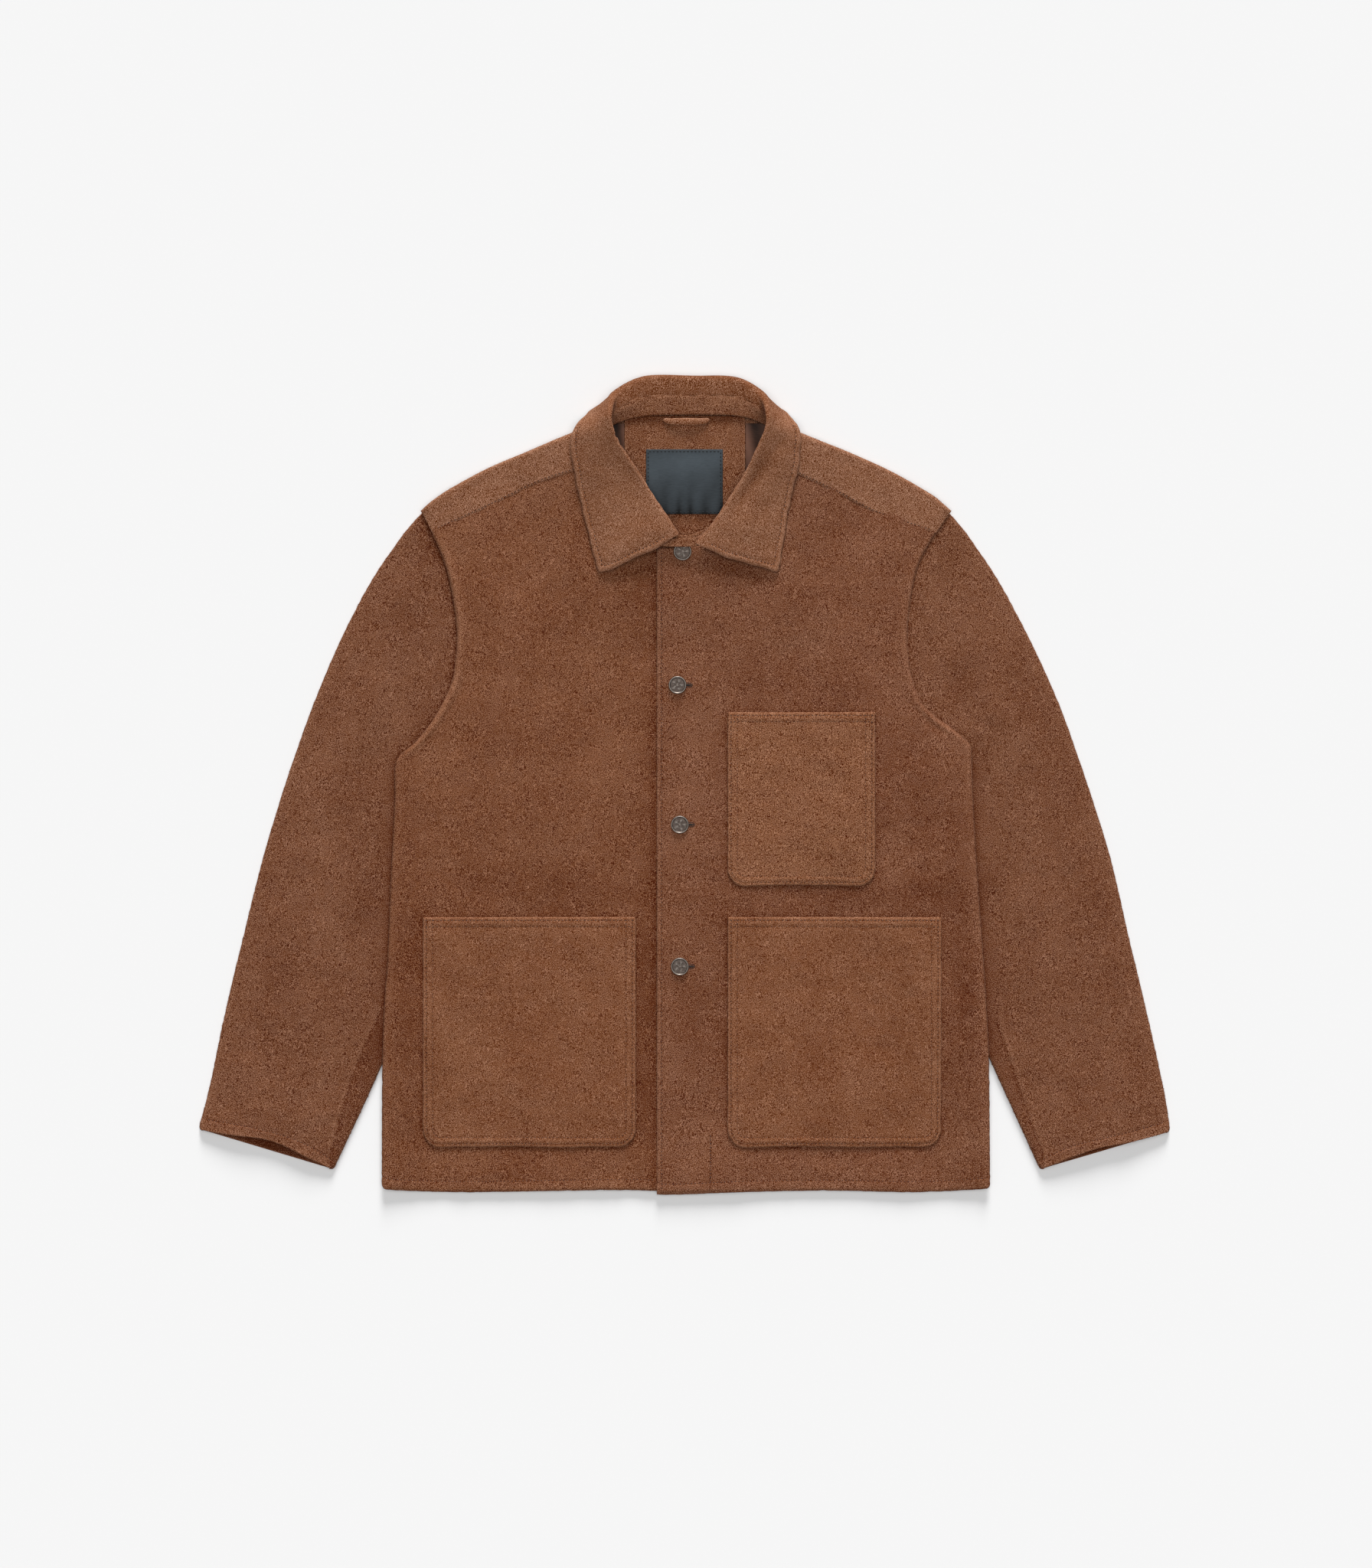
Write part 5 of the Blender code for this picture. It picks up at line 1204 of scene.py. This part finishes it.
def pocketInset(x, y, box, corner):
    # distance in from the outline, whose bottom corners are quarter circles
    left, right, top, bottom = box
    fromSide = np.minimum(x - left, right - x)
    beside, below = corner - fromSide, corner - (y - bottom)
    inCorner = (beside > 0) & (below > 0)
    return np.where(inCorner, corner - np.hypot(np.maximum(beside, 0), np.maximum(below, 0)),
                    np.minimum(np.minimum(fromSide, y - bottom), top - y))


def pocketHeight(x, y, name):
    look = pockets[name]
    side, box = look["side"], look["box"]
    left, right, bottom = box[0], box[1], box[3]
    inset = pocketInset(x, y, box, look["corner"])
    share = (x - (left + right) / 2) / (right - left) * 2
    puff = pocketLook["puff"] * (1 - np.clip(np.abs(share), 0, 1) ** 4) * fade(y - bottom, 0.0, 60.0)
    seed = 90 + len(name)
    relief = 0.22 * uneven(x, y, 48, seed) + 0.12 * uneven(x, y, 18, seed + 1)
    height = frontUnders[side](x, y) + frontRelief(x, y, side) + cloth["suede"] + cloth["patchAir"] + cloth["suede"] / 2
    height = height + puff + relief * fade(inset, 2.0, 20.0)
    height = height + 0.35 * bell(inset, 5.5, 2.4) - 0.8 * (1 - np.clip(inset / 1.8, 0, 1)) ** 2
    for row in pocketLook["rows"]:
        height = height - 0.3 * bell(inset, row, 0.8)
    return height


def pocketTone(x, y, name):
    look = pockets[name]
    inset = pocketInset(x, y, look["box"], look["corner"])
    # lighter rims: rubbed nap and painted highlight; painted shade in the stitch rows
    tone = 0.13 * bell(inset, 0.8, 1.4) + 0.05 * bell(inset, 6.0, 2.4) + 0.03 * bell(inset, 12.0, 4.0)
    for row in pocketLook["rows"]:
        tone = tone - 0.12 * bell(inset, row, 0.8)
    return tone + 0.03 * uneven(x, y, 55, 95 + len(name)) + ridges(x, y, napAndShadowPatches[name])


def makePocket(name, material):
    look = pockets[name]
    left, right, top, bottom = look["box"]
    corner = look["corner"]
    fine = (0, 0.5, 1.1, 1.8, 2.6, 3.5, 4.6, 5.8, 7.0, 8.2, 9.4, 11.0, 13.5)
    y = bottom + (top - bottom) * spacing(top - bottom, pocketLook["step"], fine)
    share = spacing(right - left, pocketLook["step"], fine) * 2 - 1
    rise = np.clip(y - bottom, 0.0, corner)
    narrow = corner - np.sqrt(np.maximum(corner**2 - (corner - rise) ** 2, 0.0))
    half = (right - left) / 2 - narrow
    x = (left + right) / 2 + half[:, None] * share[None, :]
    yy = np.broadcast_to(y[:, None], x.shape)
    wave = (0.5 * uneven(x, 0, 60, 97) + 0.25 * uneven(x, 0, 8, 98)) * (1 - fade(yy - bottom, 0.0, 30.0))
    sway = 0.25 * uneven(yy, 0, 8, 99) * np.abs(share) ** 6
    grid = withHeight(np.stack([x + sway, yy + wave], axis=-1), pocketHeight(x, yy, name))
    piece = clothPiece(name, grid, cloth["suede"], material, "suede_pockets", tone=pocketTone(x, yy, name),
                       loose="btlr")
    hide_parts(name)
    return piece


buttons = {"spots": ((-1.8, 222.6, 5.0), (-6.6, 95.2, 0.0), (-4.4, -38.1, 0.0), (-4.4, -173.6, 0.0)),
           "radius": 8.5, "cap": 2.7, "shank": 2.2, "petals": 5, "sides": 72}


def makeButton(number, x, y, tilt):
    # profile turned round its own axis, with a low rosette stamped in the dish
    seat = float(leftFrontUnder(x, y)) + cloth["suede"] + cloth["seamAir"]
    foot = float(frontUnder(x, y)) + cloth["suede"] + cloth["seamAir"] - seat
    radius, cap, shank = buttons["radius"], buttons["cap"], buttons["shank"]
    profile = np.array([(0.01, foot), (shank, foot), (shank, -0.05), (radius - 1.0, 0.0), (radius - 0.25, 0.25),
                        (radius, 0.9), (radius, cap - 1.0), (radius - 0.25, cap - 0.4), (radius - 0.7, cap - 0.2),
                        (radius - 1.15, cap - 0.35), (radius - 1.5, cap - 0.85), (radius - 2.0, cap - 0.95)])
    dish = np.stack([np.linspace(radius - 2.4, 0.01, 16), np.full(16, cap - 0.9)], axis=-1)
    profile = np.vstack([profile, dish])
    turn = np.linspace(0, 2 * math.pi, buttons["sides"], endpoint=False)
    r, z = profile[:, :1], profile[:, 1:]
    rosette = 0.42 * bell(r, 3.6, 1.7) * (0.5 + 0.5 * np.cos(buttons["petals"] * turn[None, :])) ** 2
    rosette = rosette + 0.3 * bell(r, 0.0, 1.1)
    onDish = (np.arange(len(profile)) > 11)[:, None]
    height = z + onDish * rosette
    lean = math.radians(tilt)
    px, py = r * np.cos(turn), r * np.sin(turn)
    points = np.stack([x + px, y + py * math.cos(lean) - height * math.sin(lean),
                       seat + radius * math.sin(lean) + py * math.sin(lean) + height * math.cos(lean)], axis=-1)
    piece = addMesh(f"button_{number}", points.reshape(-1, 3),
                    gridFaces(len(profile), len(turn), closed=True), agedMetal)
    wear = np.broadcast_to(0.75 * bell(r, radius - 0.7, 0.6) * (z > 1.0) + 1.3 * onDish * rosette, height.shape)
    layer = piece.data.attributes.new("wear", "FLOAT", "POINT")
    layer.data.foreach_set("value", np.ascontiguousarray(wear, np.float32).ravel())
    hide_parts(f"button_{number}")
    return piece


buttonholes = {"start": -1.0, "end": 13.6, "half": 0.85, "edge": 1.9}


def slitTop(x, y):
    return frontShape(x, y, "left") + cloth["suede"] / 2


def makeButtonholes():
    slits, edges = [], []
    for spot in buttons["spots"][1:]:
        along = np.linspace(0, 1, 24)[:, None]
        part = np.linspace(-1, 1, 5)[None, :]
        x = spot[0] + buttonholes["start"] + (buttonholes["end"] - buttonholes["start"]) * along + 0 * part
        half = buttonholes["half"] * np.clip(np.minimum(1.0, (1 - along) * 6), 0.05, 1)
        y = spot[1] + part * half
        slits.append(np.stack([x, y, slitTop(x, y) + 0.12 - 0.1 * part**2], axis=-1))
        x = spot[0] + np.linspace(buttonholes["start"], buttonholes["end"] + 0.8, 24)
        for turn in (-1, 1):
            bend = buttonholes["edge"] * np.clip(np.minimum(1.0, (spot[0] + buttonholes["end"] + 1.2 - x) / 2.4), 0.1, 1)
            y = spot[1] + turn * bend
            edges.append(np.stack([x, y, slitTop(x, y)], axis=-1))
    points = np.concatenate([slit.reshape(-1, 3) for slit in slits])
    one = gridFaces(24, 5)
    faces = (one[None] + 120 * np.arange(len(slits))[:, None, None]).reshape(-1, 4)
    # dark slits: painted shade inside the buttonholes
    piece = addMesh("buttonhole_slits", points, faces, paintedSlitShade)
    solid = piece.modifiers.new("wall", "SOLIDIFY")
    solid.thickness = 0.4 * mm
    solid.offset = -1.0
    worked = stitchRow("buttonhole_edges", edges, brownThread, length=1.3, pitch=1.2, width=1.3, seed=9)
    return piece, worked


backPiece = makeBack()
print("back made")
frontPieces = {"right": makeFront("right", napRight), "left": makeFront("left", napShell)}
print("fronts made")
sleevePieces = {side: makeSleeve(side) for side in sides}
print("sleeves made")
fallPiece, standPiece, fallPoints = makeCollar()
print("collar made")
inside = makeNeckPieces()
print("neck pieces made")
pocketPieces = {name: makePocket(name, napChest if name == "pocket_chest" else napPocket) for name in pockets}
print("pockets made")
for number, spot in enumerate(buttons["spots"], start=1):
    makeButton(number, *spot)
print("buttons made")


def frontPath(points, side):
    plan = softPath(points, 24)
    plan = alongPath(plan, np.linspace(0, 1, max(8, int(pathLength(plan) / 3))))
    return withHeight(plan, frontShape(plan[:, 0], plan[:, 1], side) + cloth["suede"] / 2)


def insetOutline(box, corner, inset):
    # outline of a pocket moved in: down one side, round the corners, up the other, along the top
    left, right, top, bottom = box
    r = max(corner - inset, 1.0)
    arc = np.radians(np.linspace(0, 90, 9))
    low = [(left + inset + r - r * math.cos(a), bottom + inset + r - r * math.sin(a)) for a in arc]
    high = [(right - inset - r + r * math.sin(a), bottom + inset + r - r * math.cos(a)) for a in arc]
    return np.array([(left + inset, top - 1.0)] + low + high + [(right - inset, top - 1.0)]), \
        np.array([(left + 1.0, top - inset), (right - 1.0, top - inset)])


def makeStitching():
    made = {}
    for side in sides:
        sign = sides[side]
        innerX = coat["placketEdge"] + 3 if side == "left" else coat["placketEdge"] - 3
        x = np.linspace(edgeX[side](-380.0) - sign * 3, innerX, 60)
        rows = [frontPath(np.stack([x, hemY[side](x) + front["hemBand"]], axis=-1), side)]
        if side == "left":
            edge = coat["placketEdge"] + front["placketStitch"]
            rows.append(frontPath([(edge, -387), (edge, -100), (edge, 222)], side))
            rows.append(frontPath([(front["facingStitchX"], -380), (front["facingStitchX"], -334)], side))
        made["front" + side] = stitchRow(f"front_{side}_stitches", rows, brownThread)
    for name, look in pockets.items():
        rows = []
        for inset in pocketLook["rows"]:
            for outline in insetOutline(look["box"], look["corner"], inset):
                plan = alongPath(outline, np.linspace(0, 1, int(pathLength(outline) / 2)))
                rows.append(withHeight(plan, pocketHeight(plan[:, 0], plan[:, 1], name) + cloth["suede"] / 2))
        made[name] = stitchRow(name + "_stitches", rows, brownThread, seed=5)
    for side in sides:
        seam = softPath(coat["shoulderSeam"][side])
        plan = alongPath(seam + np.array([0.0, 1.9]), np.linspace(0.03, 1, 80))
        z = flapUnder(*plan.T) + cloth["suede"] + yokeRelief(plan[:, 0], plan[:, 1], side) - back["sink"] * 0.95
        made["shoulder" + side] = stitchRow(f"shoulder_{side}_stitches", [withHeight(plan, z)], brownThread)
        length = pathLength(softPath(sleeve["outer"][side]))
        share = np.array([1 - sleeve["hemBand"] / length])
        across = np.linspace(0.03, 0.97, 60)
        shares = np.array([share[0] - 0.004, share[0], share[0] + 0.004])
        plan, height = sleeveSurface(side, shares, across, True)
        made["cuff" + side] = stitchRow(f"cuff_{side}_stitches", [withHeight(plan[1], height[1] + cloth["suede"] / 2)],
                                        brownThread)
    made["collar"] = stitchRow("collar_stitches", ringAt(fallPoints, collar["stitchIn"]),
                               brownThread, seed=7)
    look = neckPieces["label"]
    left, right = look["x"]
    top, bottom = look["y"]
    ring = np.array([(left + 2, top - 2), (right - 2, top - 2), (right - 2, bottom + 2), (left + 2, bottom + 2),
                     (left + 2, top - 2)])
    plan = alongPath(ring, np.linspace(0, 1, 260))
    made["label"] = stitchRow("label_stitches", [withHeight(plan, labelHeight(*plan.T) + cloth["satin"] + 0.1)],
                              darkThread, length=2.3, pitch=3.6, width=0.95)
    return made


stitches = makeStitching()
holePieces = makeButtonholes()
print("stitching made")
fringes = {name: makeFringe(name + "_loose_nap", *look) for name, look in looseEdges.items() if look[0]}
print("loose nap made")


def declareSheets():
    # piece, length and width in metres, its area where it isn't a rectangle, what it rests on, its stitches
    rows = (
        (backPiece, (0.58, 0.80), 0.425, ["sleeve_right", "sleeve_left"], ["shoulderright", "shoulderleft"]),
        (frontPieces["right"], (0.31, 0.71), 0.195, ["back"], ["frontright"]),
        (frontPieces["left"], (0.32, 0.71), 0.205, ["back", "front_right"], ["frontleft"]),
        (sleevePieces["right"], (0.52, 0.66), 0.26, [], ["cuffright"]),
        (sleevePieces["left"], (0.52, 0.66), 0.26, [], ["cuffleft"]),
        (fallPiece, (0.52, 0.10), 0.040, ["front_right", "front_left", "back"], ["collar"]),
        (standPiece, (0.42, 0.03), 0.007, ["back_facing"], []),
        (inside["facing"], (0.115, 0.162), None, ["back"], []),
        (inside["liningright"], (0.0165, 0.155), None, ["back"], []),
        (inside["liningleft"], (0.0236, 0.155), None, ["back"], []),
        (inside["label"], (0.0735, 0.0615), None, ["back_facing"], ["label"]),
        (inside["loop"], (0.046, 0.01), 0.0003, ["back_facing"], []),
        (pocketPieces["pocket_lower_right"], (0.203, 0.22), None, ["front_right"], ["pocket_lower_right"]),
        (pocketPieces["pocket_lower_left"], (0.203, 0.22), None, ["front_left"], ["pocket_lower_left"]),
        (pocketPieces["pocket_chest"], (0.14, 0.165), None, ["front_left"], ["pocket_chest"]),
    )
    for piece, flat, area, rests, sewn in rows:
        small = [stitches[name] for name in sewn]
        if piece.name in fringes:
            small.append(fringes[piece.name])
        if piece is frontPieces["left"]:
            small.extend(holePieces)


declareSheets()


studio = {
    "world": 0.17,
    "overhead": {"strength": 1.52, "soft": 60.0, "lean": 0.0, "turn": 0.0},
    "top": {"strength": 3.6, "soft": 20.0, "lean": 71.0, "turn": -3.0},  # from beyond the collar
    "lens": 85.0, "sensor": 36.0, "viewHeight": 1500.0, "centre": (1.5, 0.7),
}


def addLamp(name, look):
    # lean is measured from straight overhead towards the top of the coat, soft is the lamp's width in degrees
    light = bpy.data.lights.new(name, "SUN")
    light.energy = look["strength"]
    light.angle = math.radians(look["soft"])
    lamp = bpy.data.objects.new(name, light)
    lamp.rotation_euler = (-math.radians(look["lean"]), 0.0, math.radians(look["turn"]))
    bpy.context.scene.collection.objects.link(lamp)


def makeStudio():
    size = 6000.0
    floor = addMesh("floor", [(-size, -size, 0), (size, -size, 0), (size, size, 0), (-size, size, 0)],
                    [[0, 1, 2, 3]], backdropMaterial("mattPaperSweep"), smooth=False)
    world = bpy.data.worlds.new("softStudio")
    bpy.context.scene.world = world
    world.use_nodes = True
    world.node_tree.nodes["Background"].inputs["Color"].default_value = (1, 1, 1, 1)
    world.node_tree.nodes["Background"].inputs["Strength"].default_value = studio["world"]
    addLamp("overheadSoftbox", studio["overhead"])
    addLamp("topSoftbox", studio["top"])
    lens = bpy.data.cameras.new("copyStand")
    lens.sensor_width = studio["sensor"]
    lens.sensor_fit = "VERTICAL"
    lens.sensor_height = studio["sensor"]
    lens.lens = studio["lens"]
    distance = studio["viewHeight"] * studio["lens"] / studio["sensor"]
    lens.clip_start, lens.clip_end = 0.1, 50.0
    camera = bpy.data.objects.new("copyStand", lens)
    camera.location = (studio["centre"][0] * mm, studio["centre"][1] * mm, distance * mm)
    bpy.context.scene.collection.objects.link(camera)
    bpy.context.scene.camera = camera
    bpy.context.scene.view_settings.view_transform = "Standard"


makeStudio()
print("studio made")
